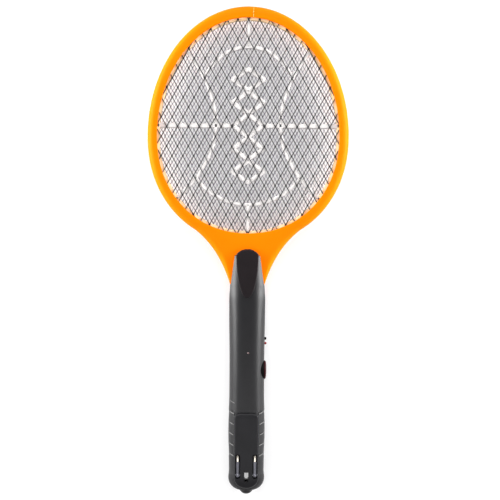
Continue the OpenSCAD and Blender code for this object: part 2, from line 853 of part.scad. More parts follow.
// One lead from the board through the tongue to each mesh's tab
module mesh_leads() color([0.8, 0.1, 0.1])
    for (i = [-1:1]) {
        x = tab_x * i;
        rest = lead_r + running_gap;
        end_z = i < 0 ? guard_z - rest : i > 0 ? 2 * mid_z - guard_z + rest : mid_z + live_t / 2 + rest;
        lead([[x, -65, 12.4], [x * 0.9, -63, 14.5], [x * 0.8, -60, 17], [x * 0.8, -36, 17], [x, -20, mid_z],
              [x, -5, (mid_z + end_z) / 2], [x, 4, end_z], [x, 9, end_z]], lead_r);
    }

head_frame_front();
head_frame_back();
front_spacer();
back_spacer();
front_mesh();
centre_mesh();
back_mesh();
head_screws();
handle_front_shell();
handle_back_shell();
neck_cover();
plug_plate();
handle_screws();
push_button();
button_cap();
button_spring();
trigger_switch();
trigger_plunger();
slide_switch_body();
slide_switch_knob();
side_lamp();
front_lamp();
nose_lamp();
left_pin();
right_pin();
left_pin_sleeve();
right_pin_sleeve();
pin_axles();
pin_contacts();
circuit_board();
transformer_core();
transformer_winding();
storage_capacitor();
dropper_capacitor();
resistors();
diodes();
transistor();
board_screws();
battery();
battery_leads();
mains_leads();
mesh_leads();
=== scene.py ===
import json
import logging
import math
from dataclasses import dataclass, field
from enum import Enum

import bpy
import numpy as np
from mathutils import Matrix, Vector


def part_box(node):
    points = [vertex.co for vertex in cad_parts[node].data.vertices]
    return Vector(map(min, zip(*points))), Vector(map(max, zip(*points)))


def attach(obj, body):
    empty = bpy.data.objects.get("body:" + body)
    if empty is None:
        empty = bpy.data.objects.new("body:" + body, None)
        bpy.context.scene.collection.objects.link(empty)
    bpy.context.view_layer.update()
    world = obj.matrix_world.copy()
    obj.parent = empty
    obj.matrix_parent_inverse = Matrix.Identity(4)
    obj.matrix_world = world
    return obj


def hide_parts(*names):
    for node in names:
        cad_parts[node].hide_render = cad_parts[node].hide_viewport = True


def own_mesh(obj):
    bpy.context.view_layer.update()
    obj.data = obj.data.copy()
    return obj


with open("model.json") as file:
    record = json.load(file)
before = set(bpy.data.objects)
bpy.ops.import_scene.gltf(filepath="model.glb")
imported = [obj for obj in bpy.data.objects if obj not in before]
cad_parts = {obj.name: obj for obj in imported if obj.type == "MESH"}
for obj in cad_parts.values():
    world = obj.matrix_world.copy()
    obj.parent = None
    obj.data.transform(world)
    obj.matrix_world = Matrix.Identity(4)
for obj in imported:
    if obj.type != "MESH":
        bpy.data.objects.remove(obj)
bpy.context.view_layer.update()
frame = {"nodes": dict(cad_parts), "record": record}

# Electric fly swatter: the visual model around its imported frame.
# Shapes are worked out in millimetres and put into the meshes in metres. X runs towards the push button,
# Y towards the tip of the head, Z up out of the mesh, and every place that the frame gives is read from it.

MM = 0.001
LOG = logging.getLogger("swatter")
Array = np.ndarray
Size = tuple[float, float]
Place = tuple[float, float, float]
CREASE = 38.0  # edges sharper than this many degrees stay sharp
HAIR = 0.05  # a small distance that keeps faces or points apart
POLE = 0.02  # radians left open at a pole, which a fan closes
DOME_SHARE = 0.985  # how much of a quarter turn a dome's rings take up before a fan closes it
BEVEL_STEP = 0.3  # where a two-step bevel has its middle corner, as a share of the bevel


# --- closed surfaces ----------------------------------------------------------------------------


class Solid:
    """Closed surfaces in millimetres that are gathered into one mesh."""

    def __init__(self) -> None:
        """Starts with no surface."""
        self.points: list[Array] = []
        self.quads: list[Array] = []
        self.triangles: list[Array] = []

    def _add(self, points: Array, quads: Array, triangles: Array) -> "Solid":
        """Adds one closed surface, turned so that its volume is positive.

        Args:
            points: corner points, one row each.
            quads: corner numbers of the four-sided faces.
            triangles: corner numbers of the three-sided faces.

        Returns:
            This solid.
        """
        halves = np.vstack([quads[:, [0, 1, 2]], quads[:, [0, 2, 3]], triangles])
        a, b, c = (points[halves[:, k]] for k in range(3))
        if np.einsum("ij,ij->i", a, np.cross(b, c)).sum() < 0:
            quads, triangles = quads[:, ::-1], triangles[:, ::-1]
        start = sum(len(p) for p in self.points)
        self.points.append(points)
        self.quads.append(quads + start)
        self.triangles.append(triangles + start)
        return self

    def skin(self, rings: Array, closed: bool = False) -> "Solid":
        """Joins each ring of points to the next one.

        Args:
            rings: array (rings, points on a ring, 3).
            closed: whether the last ring joins the first one. If not, a fan closes each end.

        Returns:
            This solid.
        """
        count, sides, _ = rings.shape
        index = np.arange(count * sides).reshape(count, sides)
        beside = np.roll(index, -1, axis=1)
        points = rings.reshape(-1, 3)
        if closed:
            quads = np.stack([index, np.roll(index, -1, 0), np.roll(beside, -1, 0), beside], -1)
            return self._add(points, quads.reshape(-1, 4), np.zeros((0, 3), int))
        quads = np.stack([index[:-1], index[1:], beside[1:], beside[:-1]], -1).reshape(-1, 4)
        centres = np.stack([rings[0].mean(0), rings[-1].mean(0)])
        first = np.stack([np.full(sides, count * sides), index[0], beside[0]], -1)
        last = np.stack([np.full(sides, count * sides + 1), beside[-1], index[-1]], -1)
        return self._add(np.vstack([points, centres]), quads, np.vstack([first, last]))

    def wall(self, outer: Array, inner: Array) -> "Solid":
        """Closes the space between two grids of the same shape: both faces and the four edges.

        Args:
            outer: array (rows, columns, 3) of the outer face.
            inner: the same for the inner face.

        Returns:
            This solid.
        """
        rows, columns, _ = outer.shape
        face = np.arange(rows * columns).reshape(rows, columns)
        back = face + rows * columns
        quads = [np.stack([g[:-1, :-1], g[1:, :-1], g[1:, 1:], g[:-1, 1:]], -1).reshape(-1, 4)
                 for g in (face, back[:, ::-1])]
        edge = np.concatenate([face[0, :-1], face[:-1, -1], face[-1, :0:-1], face[:0:-1, 0]])
        after = np.roll(edge, -1)
        under = rows * columns
        quads.append(np.stack([edge, after, after + under, edge + under], -1))
        points = np.vstack([outer.reshape(-1, 3), inner.reshape(-1, 3)])
        return self._add(points, np.vstack(quads), np.zeros((0, 3), int))

    def build(self, name: str, crease: float = CREASE) -> bpy.types.Object:
        """Puts the gathered surfaces into a mesh object in metres.

        Args:
            name: the object's name.
            crease: edges sharper than this angle in degrees stay sharp.

        Returns:
            The new object, linked to the scene.
        """
        points = np.vstack(self.points) * MM
        quads, triangles = np.vstack(self.quads), np.vstack(self.triangles)
        mesh = bpy.data.meshes.new(name)
        mesh.vertices.add(len(points))
        mesh.vertices.foreach_set("co", points.astype(np.float32).ravel())
        corners = np.concatenate([quads.ravel(), triangles.ravel()]).astype(np.int32)
        mesh.loops.add(len(corners))
        mesh.loops.foreach_set("vertex_index", corners)
        sizes = np.concatenate([np.full(len(quads), 4), np.full(len(triangles), 3)])
        mesh.polygons.add(len(sizes))
        mesh.polygons.foreach_set("loop_start", (np.cumsum(sizes) - sizes).astype(np.int32))
        mesh.update(calc_edges=True)
        obj = bpy.data.objects.new(name, mesh)
        bpy.context.scene.collection.objects.link(obj)
        soften(obj, crease)
        return obj


def soften(obj: bpy.types.Object, crease: float = CREASE) -> None:
    """Shades a mesh smooth and keeps the edges sharper than crease degrees."""
    obj.data.polygons.foreach_set("use_smooth", np.ones(len(obj.data.polygons), bool))
    obj.data.set_sharp_from_angle(angle=math.radians(crease))


def cut(obj: bpy.types.Object, cutter: Solid, crease: float = CREASE) -> None:
    """Takes a cutter's solids out of a mesh object.

    Args:
        obj: the object that is cut.
        cutter: separate closed solids.
        crease: edges sharper than this angle in degrees stay sharp.
    """
    tool = cutter.build("cutter")
    change = obj.modifiers.new("cut", "BOOLEAN")
    change.operation = "DIFFERENCE"
    change.solver = "EXACT"
    change.object = tool
    graph = bpy.context.evaluated_depsgraph_get()
    mesh = bpy.data.meshes.new_from_object(obj.evaluated_get(graph))
    obj.modifiers.clear()
    whole, obj.data = obj.data, mesh
    bpy.data.meshes.remove(whole)
    bpy.data.objects.remove(tool)
    soften(obj, crease)
    level = obj.modifiers.new("level", "WEIGHTED_NORMAL")
    level.keep_sharp = True


def stack(x: Array, y: Array, z: Array) -> Array:
    """Three coordinates, spread over their common shape, as points."""
    return np.stack(np.broadcast_arrays(x, y, z), axis=-1).astype(float)


def turned_over(points: Array, level: float) -> Array:
    """Points mirrored in the level plane at that height."""
    return points * [1, 1, -1] + [0, 0, 2 * level]


def turns(steps: int) -> Array:
    """Angles of a full turn in equal steps, in radians."""
    return np.linspace(0, 2 * np.pi, steps, endpoint=False)


def circle(radius: float, sides: int) -> Array:
    """Points of a flat circle."""
    return radius * np.stack([np.cos(turns(sides)), np.sin(turns(sides))], -1)


def lathe(along: Array, radius: Array, axis: int, origin: Array, sides: int = 40) -> Array:
    """Rings of a turned shape: at each place along the axis a circle of that radius.

    Args:
        along: places along the axis, measured from the origin.
        radius: the radius at each place.
        axis: 0, 1 or 2 for X, Y or Z.
        origin: a point on the axis.
        sides: points on a ring.

    Returns:
        Rings for Solid.skin.
    """
    angle = turns(sides)
    points = np.zeros((len(along), sides, 3))
    points[..., axis] = np.asarray(along, float)[:, None]
    points[..., (axis + 1) % 3] = np.asarray(radius, float)[:, None] * np.cos(angle)
    points[..., (axis + 2) % 3] = np.asarray(radius, float)[:, None] * np.sin(angle)
    return points + np.asarray(origin, float)


def dome(radius: float, height: float, steps: int = 10, power: float = 1.0) -> tuple[Array, Array]:
    """Profile of a domed end: a quarter of a superellipse, whose radius falls to almost nothing as it rises.

    Args:
        radius: radius at the dome's foot.
        height: height of the dome.
        steps: number of stations.
        power: one for an ellipse, less for a squarer shoulder.

    Returns:
        Heights and radii.
    """
    angle = np.linspace(0, 0.5 * np.pi * DOME_SHARE, steps)
    return height * np.sin(angle) ** power, radius * np.cos(angle) ** power


def beam(x: Size, y: Size, z: Size) -> Array:
    """Rings of a rectangular beam along X between those places."""
    return stack(np.array(x)[:, None], np.array(y)[[0, 1, 1, 0]][None], np.array(z)[[0, 0, 1, 1]][None])


def sweep(path: Array, section: Array, closed: bool = False, up: tuple = (0, 0, 1)) -> Array:
    """Rings of a flat section carried along a path and kept upright.

    At each point the section's first coordinate runs across the path, and its second one along up.

    Args:
        path: points of the path, one row each.
        section: points of the section, one row each.
        closed: whether the path's end joins its start.
        up: the direction that the section keeps upright.

    Returns:
        Rings for Solid.skin.
    """
    way = np.roll(path, -1, 0) - np.roll(path, 1, 0) if closed else np.gradient(path, axis=0)
    lift = np.asarray(up, float)
    across = np.cross(way, lift)
    across /= np.linalg.norm(across, axis=1, keepdims=True)
    return path[:, None] + across[:, None] * section[None, :, :1] + lift * section[None, :, 1:]


def soft_section(width: float, low: float, high: float, bevel: float) -> Array:
    """A rectangle between two heights, with its upper corners taken off in two steps.

    Args:
        width: its width, centred on zero.
        low: its lower height.
        high: its upper height.
        bevel: how much is taken off each way.

    Returns:
        The section's points.
    """
    half, step = width / 2, bevel * BEVEL_STEP
    return np.array([(-half, low), (half, low), (half, high - bevel), (half - step, high - step),
                     (half - bevel, high), (bevel - half, high), (step - half, high - step),
                     (-half, high - bevel)])


def box_mm(node: str) -> tuple[Array, Array]:
    """Lowest and highest corner of a CAD node, in millimetres."""
    low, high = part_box(node)
    return np.array(low) / MM, np.array(high) / MM


def middle_mm(node: str) -> Array:
    """The middle of a CAD node's box, in millimetres."""
    low, high = box_mm(node)
    return (low + high) / 2


# --- finishes -----------------------------------------------------------------------------------


class Pattern(Enum):
    """How a surface was made, which sets what its colour and relief follow."""

    MOULDED = "moulded"
    BRUSHED = "brushed"
    WOUND = "wound"
    PRINTED = "printed"


# How the noise is stretched along Y or drawn into rings for each pattern.
STRETCH = {Pattern.BRUSHED: (1.0, 0.06, 1.0), Pattern.WOUND: (0.1, 2.0, 0.1)}
# Where the tint's two colours stand on its noise, and how far the roughness strays from its middle.
TINT_PLACES = (0.3, 0.7)
POLISH_SPREAD = 0.15
TRACK_SCALE, TRACK_WIDTH, TRACK_COLOR = 260.0, 0.06, (0.02, 0.28, 0.1, 1)


@dataclass(frozen=True)
class Finish:
    """One surface finish and the material that shows it."""

    slot: str
    color: tuple[float, float, float]
    rough: float = 0.4
    metal: float = 0.0
    coat: float = 0.0
    coat_rough: float = 0.08
    specular: float = 0.5
    clear: float = 0.0
    mottle: float = 0.06
    mottle_scale: float = 60.0
    grain_scale: float = 1500.0
    grain_depth: float = 0.00002
    pattern: Pattern = Pattern.MOULDED

    def material(self) -> bpy.types.Material:
        """Builds the material: slow noise tints the colour, fine noise sets the roughness and the relief.

        Returns:
            The material, which reads Object coordinates only.
        """
        found = bpy.data.materials.get("finish_" + self.slot)
        if found:
            return found
        made = bpy.data.materials.new("finish_" + self.slot)
        made.use_nodes = True
        nodes, links = made.node_tree.nodes, made.node_tree.links
        shader = nodes["Principled BSDF"]
        shader.inputs["Metallic"].default_value = self.metal
        shader.inputs["Coat Weight"].default_value = self.coat
        shader.inputs["Coat Roughness"].default_value = self.coat_rough
        shader.inputs["Specular IOR Level"].default_value = self.specular
        shader.inputs["Transmission Weight"].default_value = self.clear
        place = nodes.new("ShaderNodeTexCoord")
        spread = nodes.new("ShaderNodeMapping")
        spread.inputs["Scale"].default_value = STRETCH.get(self.pattern, (1, 1, 1))
        links.new(place.outputs["Object"], spread.inputs["Vector"])
        slow = self._noise(nodes, links, spread, self.mottle_scale, 4.0)
        fine = self._noise(nodes, links, spread, self.grain_scale, 2.0)
        tint = nodes.new("ShaderNodeValToRGB")
        for end, share in enumerate((1 - self.mottle, 1 + self.mottle)):
            tint.color_ramp.elements[end].color = (*[min(1.0, c * share) for c in self.color], 1)
            tint.color_ramp.elements[end].position = TINT_PLACES[end]
        links.new(slow.outputs["Fac"], tint.inputs["Fac"])
        links.new(self._printed(nodes, links, place, tint), shader.inputs["Base Color"])
        polish = nodes.new("ShaderNodeMapRange")
        polish.inputs["To Min"].default_value = self.rough * (1 - POLISH_SPREAD)
        polish.inputs["To Max"].default_value = min(1.0, self.rough * (1 + POLISH_SPREAD))
        links.new(fine.outputs["Fac"], polish.inputs["Value"])
        links.new(polish.outputs["Result"], shader.inputs["Roughness"])
        relief = nodes.new("ShaderNodeBump")
        relief.inputs["Distance"].default_value = self.grain_depth
        links.new(fine.outputs["Fac"], relief.inputs["Height"])
        links.new(relief.outputs["Normal"], shader.inputs["Normal"])
        return made

    @staticmethod
    def _noise(nodes: bpy.types.Nodes, links: bpy.types.NodeLinks, source: bpy.types.Node, scale: float,
               detail: float) -> bpy.types.Node:
        """Adds a noise texture.

        Args:
            nodes: the material's nodes.
            links: the material's links.
            source: the mapping node that it reads.
            scale: its scale.
            detail: its detail.

        Returns:
            The noise node.
        """
        noise = nodes.new("ShaderNodeTexNoise")
        noise.inputs["Scale"].default_value = scale
        noise.inputs["Detail"].default_value = detail
        links.new(source.outputs["Vector"], noise.inputs["Vector"])
        return noise

    def _printed(self, nodes: bpy.types.Nodes, links: bpy.types.NodeLinks, place: bpy.types.Node,
                 tint: bpy.types.Node) -> bpy.types.NodeSocket:
        """Lays copper tracks over the colour of a printed board, and leaves any other finish as it is.

        Args:
            nodes: the material's nodes.
            links: the material's links.
            place: the coordinate node.
            tint: the node that gives the plain colour.

        Returns:
            The socket with the final colour.
        """
        if self.pattern is not Pattern.PRINTED:
            return tint.outputs["Color"]
        tracks = nodes.new("ShaderNodeTexVoronoi")
        tracks.feature = "DISTANCE_TO_EDGE"
        tracks.inputs["Scale"].default_value = TRACK_SCALE
        edge = nodes.new("ShaderNodeMath")
        edge.operation = "LESS_THAN"
        edge.inputs[1].default_value = TRACK_WIDTH
        mix = nodes.new("ShaderNodeMix")
        mix.data_type = "RGBA"
        mix.inputs["B"].default_value = TRACK_COLOR
        links.new(place.outputs["Object"], tracks.inputs["Vector"])
        links.new(tracks.outputs["Distance"], edge.inputs[0])
        links.new(edge.outputs[0], mix.inputs["Factor"])
        links.new(tint.outputs["Color"], mix.inputs["A"])
        return mix.outputs["Result"]


FINISHES = {finish.slot: finish for finish in (
    Finish("orange_abs", (1.0, 0.193, 0.0004), rough=0.45, specular=0.03, mottle=0.03, mottle_scale=25,
           grain_scale=900),
    Finish("cream_abs", (0.78, 0.75, 0.735), rough=0.5, mottle=0.03, grain_scale=1100),
    # painted light: the spacer rim's cream plastic is tinted peach and brightened to stand for orange bounce
    # light from the frame
    Finish("cream_painted_orange_bounce", (1.0, 0.72, 0.42), rough=0.5, mottle=0.03, grain_scale=1100),
    Finish("guard_wire", (0.012, 0.0095, 0.012), rough=0.45, metal=0.1, mottle=0.25, mottle_scale=240),
    Finish("guard_wire_back", (0.1, 0.086, 0.1), rough=0.45, metal=0.2, mottle=0.25, mottle_scale=240),
    Finish("live_wire", (0.23, 0.2, 0.26), rough=0.45, metal=0.2, mottle=0.15, mottle_scale=300),
    Finish("steel", (0.56, 0.56, 0.58), rough=0.32, metal=1.0, mottle=0.08, pattern=Pattern.BRUSHED),
    Finish("charcoal_abs", (0.0068, 0.0066, 0.0078), rough=0.4, specular=0.42, mottle=0.1, mottle_scale=90,
           grain_scale=2200, grain_depth=0.00003),
    Finish("black_abs", (0.0085, 0.0057, 0.0068), rough=0.45, specular=0.2, mottle=0.12, mottle_scale=120,
           grain_scale=1800),
    # painted shade: a duller black with less sheen for the foot, where the light falls off
    Finish("foot_painted_shade", (0.014, 0.0135, 0.015), rough=0.48, specular=0.3, mottle=0.12, grain_scale=1800),
    Finish("plate_black", (0.0105, 0.0103, 0.012), rough=0.44, specular=0.22, mottle=0.12, grain_scale=1800),
    Finish("dim_lens", (0.13, 0.08, 0.08), rough=0.15, coat=0.8, mottle=0.12, grain_depth=0.0),
    Finish("rib_grey", (0.16, 0.158, 0.155), rough=0.5, mottle=0.12, mottle_scale=400),
    # painted shade: black plastic darkened to near-black to stand for the shade of the recess around the
    # button and the knob
    Finish("black_painted_recess_shade", (0.003, 0.0028, 0.003), rough=0.5, specular=0.06, mottle=0.12, grain_scale=1800),
    Finish("red_gloss", (0.03, 0.002, 0.004), rough=0.4, specular=0.08, mottle=0.1),
    Finish("red_lens", (0.22, 0.006, 0.012), rough=0.15, coat=0.2, clear=0.05, mottle=0.12, grain_depth=0.0),
    Finish("nickel", (0.66, 0.61, 0.53), rough=0.16, metal=1.0, mottle=0.05, grain_depth=0.0),
    Finish("grey_sleeve", (0.2, 0.2, 0.235), rough=0.45, mottle=0.08),
    Finish("brass", (0.72, 0.5, 0.2), rough=0.28, metal=1.0, pattern=Pattern.BRUSHED),
    Finish("board_green", (0.012, 0.12, 0.045), rough=0.35, coat=0.3, pattern=Pattern.PRINTED),
    Finish("ferrite", (0.04, 0.04, 0.045), rough=0.55, mottle=0.3, mottle_scale=700),
    Finish("copper", (0.62, 0.22, 0.08), rough=0.3, metal=0.8, mottle=0.35, pattern=Pattern.WOUND,
           mottle_scale=900),
    Finish("amber_epoxy", (0.55, 0.2, 0.02), rough=0.22, coat=0.5, mottle=0.1),
    Finish("resistor_body", (0.55, 0.4, 0.22), rough=0.35, mottle=0.25, mottle_scale=500,
           pattern=Pattern.BRUSHED),
    Finish("battery_case", (0.02, 0.05, 0.22), rough=0.25, coat=0.4, mottle=0.1, mottle_scale=40),
    Finish("lead_red", (0.42, 0.015, 0.015), rough=0.45, mottle=0.08, mottle_scale=400),
    Finish("lead_black", (0.02, 0.02, 0.02), rough=0.45, mottle=0.1, mottle_scale=400),
    Finish("seam_orange", (1.0, 0.52, 0.12), rough=0.4, mottle=0.04),
)}
SLOT_OF = {part["node"]: part["material_slot"] for part in frame["record"]["subparts"]}


def dress(obj: bpy.types.Object, body: str, *nodes: str, finish: str = "", slot: str = "") -> None:
    """Gives a piece its material, its body and the CAD nodes that it stands for, and reports it.

    Args:
        obj: the piece.
        body: the body that it moves with.
        nodes: the CAD nodes that it replaces.
        finish: the finish's name; the first node's slot if it is left out.
        slot: the record's slot, where it isn't the finish's name; not used.
    """
    name = finish or SLOT_OF[nodes[0]]
    obj.data.materials.clear()
    obj.data.materials.append(FINISHES[name].material())
    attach(obj, body)
    if nodes:
        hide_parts(*nodes)
    LOG.info("%s: %d faces, %s, on %s, for %s", obj.name, len(obj.data.polygons), name, body, nodes or "-")


def dress_nodes(shown: list[str]) -> None:
    """Gives each CAD node that stays in view the material of its slot.

    Args:
        shown: the names of those nodes.
    """
    for name in shown:
        node = frame["nodes"][name]
        node.data.materials.clear()
        node.data.materials.append(FINISHES[SLOT_OF[name]].material())
        LOG.info("%s: kept, %s", name, SLOT_OF[name])


# --- head ---------------------------------------------------------------------------------------


@dataclass
class Head:
    """The egg-shaped head: two frame halves, two spacers and three meshes."""

    rise: float = 141.2
    drop: float = 117.3
    foot_power: float = 2.1
    side_rim: float = 10.6
    tip_rim: float = 12.8
    foot_rim: float = 11.6
    neck: tuple[Size, ...] = ((80.3, 41.3), (66.3, 24.5), (36.3, 18.4), (18.6, -38.0))
    wall: float = 2.2
    edge_round: float = 7.4
    edge_power: float = 2.0
    edge_fade: float = 30.0
    edge_least: float = 0.12
    lip_round: float = 1.1
    ledge: float = 2.7
    stations: int = 440
    tongue_half: float = 13.0
    tongue_end: float = -62.0
    tongue_rise: float = 6.0
    tongue_bevel: float = 0.8
    seam_x: float = 5.0
    seam_radius: float = 0.17
    seam_last: int = 16
    well_radius: float = 2.8
    well_ends: Size = (-3.2, 2.1)
    half_width: float = field(init=False)
    centre: float = field(init=False)
    split: float = field(init=False)
    top: float = field(init=False)

    def __post_init__(self) -> None:
        """Reads the head's place from the frame."""
        low, high = box_mm("head_frame_front")
        self.half_width = high[0]
        self.centre = high[1] - self.rise
        self.split = low[2]
        self.top = high[2]

    @property
    def rims(self) -> Place:
        """The rim's width at the side, the tip and the foot."""
        return self.side_rim, self.tip_rim, self.foot_rim

    def radius(self, angle: Array, inset: float, rims: Place = (0, 0, 0)) -> Array:
        """Distance from the head's centre to the egg at an angle: an ellipse above, a squarer curve below.

        Args:
            angle: angles from +X, in radians.
            inset: how far the curve is pulled in all round.
            rims: further insets at the side, the tip and the foot.

        Returns:
            The distance at each angle.
        """
        power = np.where(np.sin(angle) >= 0, 2.0, self.foot_power)
        across = self.half_width - inset - rims[0]
        along = np.where(np.sin(angle) >= 0, self.rise - inset - rims[1], self.drop - inset - rims[2])
        total = np.abs(np.cos(angle) / across) ** power + np.abs(np.sin(angle) / along) ** power
        return total ** (-1 / power)

    def opening(self, angle: Array, grow: float, height: Array) -> Array:
        """Points on the opening's outline, grown by grow on every side, at that height."""
        reach = self.radius(angle, -grow, self.rims)
        return stack(reach * np.cos(angle), self.centre + reach * np.sin(angle), height)

    def neck_radius(self, angle: Array) -> Array:
        """Distance from the head's centre to the neck's side, a cubic curve, or to its level end.

        Args:
            angle: angles from +X, in radians.

        Returns:
            The distance at each angle, zero where the neck isn't met.
        """
        t = np.linspace(0, 1, 300)[:, None]
        p = np.array(self.neck)
        curve = ((1 - t) ** 3 * p[0] + 3 * (1 - t) ** 2 * t * p[1] + 3 * (1 - t) * t**2 * p[2] + t**3 * p[3])
        lean = np.arctan2(curve[:, 0], self.centre - curve[:, 1])[::-1]
        reach = np.hypot(curve[:, 0], curve[:, 1] - self.centre)[::-1]
        off = np.abs(np.arctan2(np.cos(angle), -np.sin(angle)))
        end = (self.centre - p[3, 1]) / np.maximum(np.cos(off), 0.1)
        return np.where(off < lean[0], end, np.interp(off, lean, reach, right=0.0))

    def outline(self) -> tuple[Array, Array, Array]:
        """The outer outline of egg and neck at even steps along it.

        Returns:
            The angles, the outer points and the outward directions.
        """
        angle = np.linspace(-np.pi / 2, 1.5 * np.pi, 6001)
        reach = np.maximum(self.radius(angle, 0), self.neck_radius(angle))
        path = np.stack([reach * np.cos(angle), self.centre + reach * np.sin(angle)], -1)
        length = np.concatenate([[0], np.cumsum(np.linalg.norm(np.diff(path, axis=0), axis=1))])
        even = np.linspace(0, length[-1], self.stations, endpoint=False)
        points = np.stack([np.interp(even, length, path[:, k]) for k in (0, 1)], -1)
        way = np.roll(points, -1, 0) - np.roll(points, 1, 0)
        way /= np.linalg.norm(way, axis=1, keepdims=True)
        return np.interp(even, length, angle), points, np.stack([way[:, 1], -way[:, 0]], -1)

    def half_rings(self) -> Array:
        """Rings of the front half: a rounded outer edge, a level face, a soft lip and the hollow behind them.

        Returns:
            Rings for Solid.skin.
        """
        angle, outer, out = self.outline()
        lip_z = box_mm("front_mesh")[1][2]
        turn = np.linspace(0, np.pi / 2, 10)
        inset = self.edge_round * (1 - np.cos(turn) ** (2 / self.edge_power))
        rise = (self.top - self.split) * np.sin(turn) ** (2 / self.edge_power)
        fade = np.clip((outer[:, 1] - self.neck[3][1]) / self.edge_fade, self.edge_least, 1)[:, None]
        edge = [np.column_stack([outer - d * fade * out, np.full(len(outer), self.split + h)])
                for d, h in zip(inset, rise)]
        start = edge[-1]
        end = self.opening(angle, self.lip_round, self.top)
        face = [start + (end - start) * share for share in (0.25, 0.5, 0.75)]
        lip = [self.opening(angle, self.lip_round * (1 - math.sin(bend)),
                            self.top - self.lip_round * (1 - math.cos(bend)))
               for bend in np.linspace(0, np.pi / 2, 5)]
        inside = outer - self.wall * out
        hollow = [self.opening(angle, 0.0, lip_z),
                  np.column_stack([inside, np.full(len(outer), lip_z)]),
                  np.column_stack([inside, np.full(len(outer), self.split)])]
        return np.stack(edge + face + lip + hollow, axis=1)

    def tongue(self) -> Array:
        """Rings of the tongue that reaches into the handle: a level bar with soft corners.

        Returns:
            Rings for Solid.skin.
        """
        y = np.linspace(self.neck[3][1] + self.wall, self.tongue_end, 6)
        section = soft_section(2 * self.tongue_half, HAIR, self.tongue_rise, self.tongue_bevel)
        return stack(section[None, :, 0], y[:, None], self.split + section[None, :, 1])

    def build_frames(self) -> None:
        """Builds both frame halves and the fine moulding seam across the tip."""
        rings, tongue = self.half_rings(), self.tongue()
        front = Solid().skin(rings, closed=True).skin(tongue).build("head_frame_front_shell")
        dress(front, "swatter", "head_frame_front")
        back = Solid().skin(turned_over(rings, self.split), closed=True)
        back.skin(turned_over(tongue, self.split))
        back_shell = back.build("head_frame_back_shell")
        cut(back_shell, self.screw_wells())
        dress(back_shell, "swatter", "head_frame_back")
        near = np.where(rings[:, 0, 1] > self.centre, np.abs(rings[:, 0, 0] - self.seam_x), np.inf).argmin()
        known = np.arange(self.seam_last + 1)
        line = np.linspace(0, self.seam_last, 48)
        path = np.stack([np.interp(line, known, rings[near, known, k]) for k in range(3)], -1)
        seam = Solid().skin(sweep(path, circle(self.seam_radius, 6), up=(1, 0, 0)))
        dress(seam.build("frame_seam"), "swatter", finish="seam_orange", slot="orange_abs")

    def screw_wells(self) -> Solid:
        """Cutters for the two wells that the head's screws sit in.

        Returns:
            The cutters.
        """
        wells = Solid()
        for x, y, z in Screws().head_places():
            wells.skin(lathe(self.well_ends, [self.well_radius] * 2, 2, (x, y, z)))
        return wells

    def build_spacers(self) -> None:
        """Builds the two cream spacers, each as a rim with a ledge and as ribs with a lozenge chain."""
        low, high = box_mm("front_spacer")
        ribs = SpacerRibs(self, low[2], high[2])
        for node, turned in (("front_spacer", False), ("back_spacer", True)):
            solid, rim = Solid(), ribs.rim()
            for rings, closed in ribs.rib_rings():
                solid.skin(turned_over(rings, self.split) if turned else rings, closed)
            dress(solid.build(node + "_ribs"), "swatter", node)
            band = Solid().skin(turned_over(rim, self.split) if turned else rim, closed=True)
            # the rim's colour is painted orange bounce light from the frame on the cream plastic
            dress(band.build(node + "_rim"), "swatter", finish="cream_painted_orange_bounce", slot="cream_abs")

    def build_meshes(self) -> None:
        """Builds the two guard meshes and the fine live mesh between them."""
        guard = MeshWeave(self, pitch=11.8, strand=0.98, sides=8)
        behind = MeshWeave(self, pitch=11.8, strand=0.45, sides=8, knot_y=251.2, shift=3.93)
        live = MeshWeave(self, pitch=3.93, strand=0.5, sides=4, bond=0.5)
        for node, weave, finish in (("front_mesh", guard, "guard_wire"), ("centre_mesh", live, "live_wire"),
                                    ("back_mesh", behind, "guard_wire_back")):
            low, high = box_mm(node)
            dress(weave.solid(low[2], high[2]).build(node + "_weave", 50), "swatter", node,
                  finish=finish, slot=SLOT_OF[node])


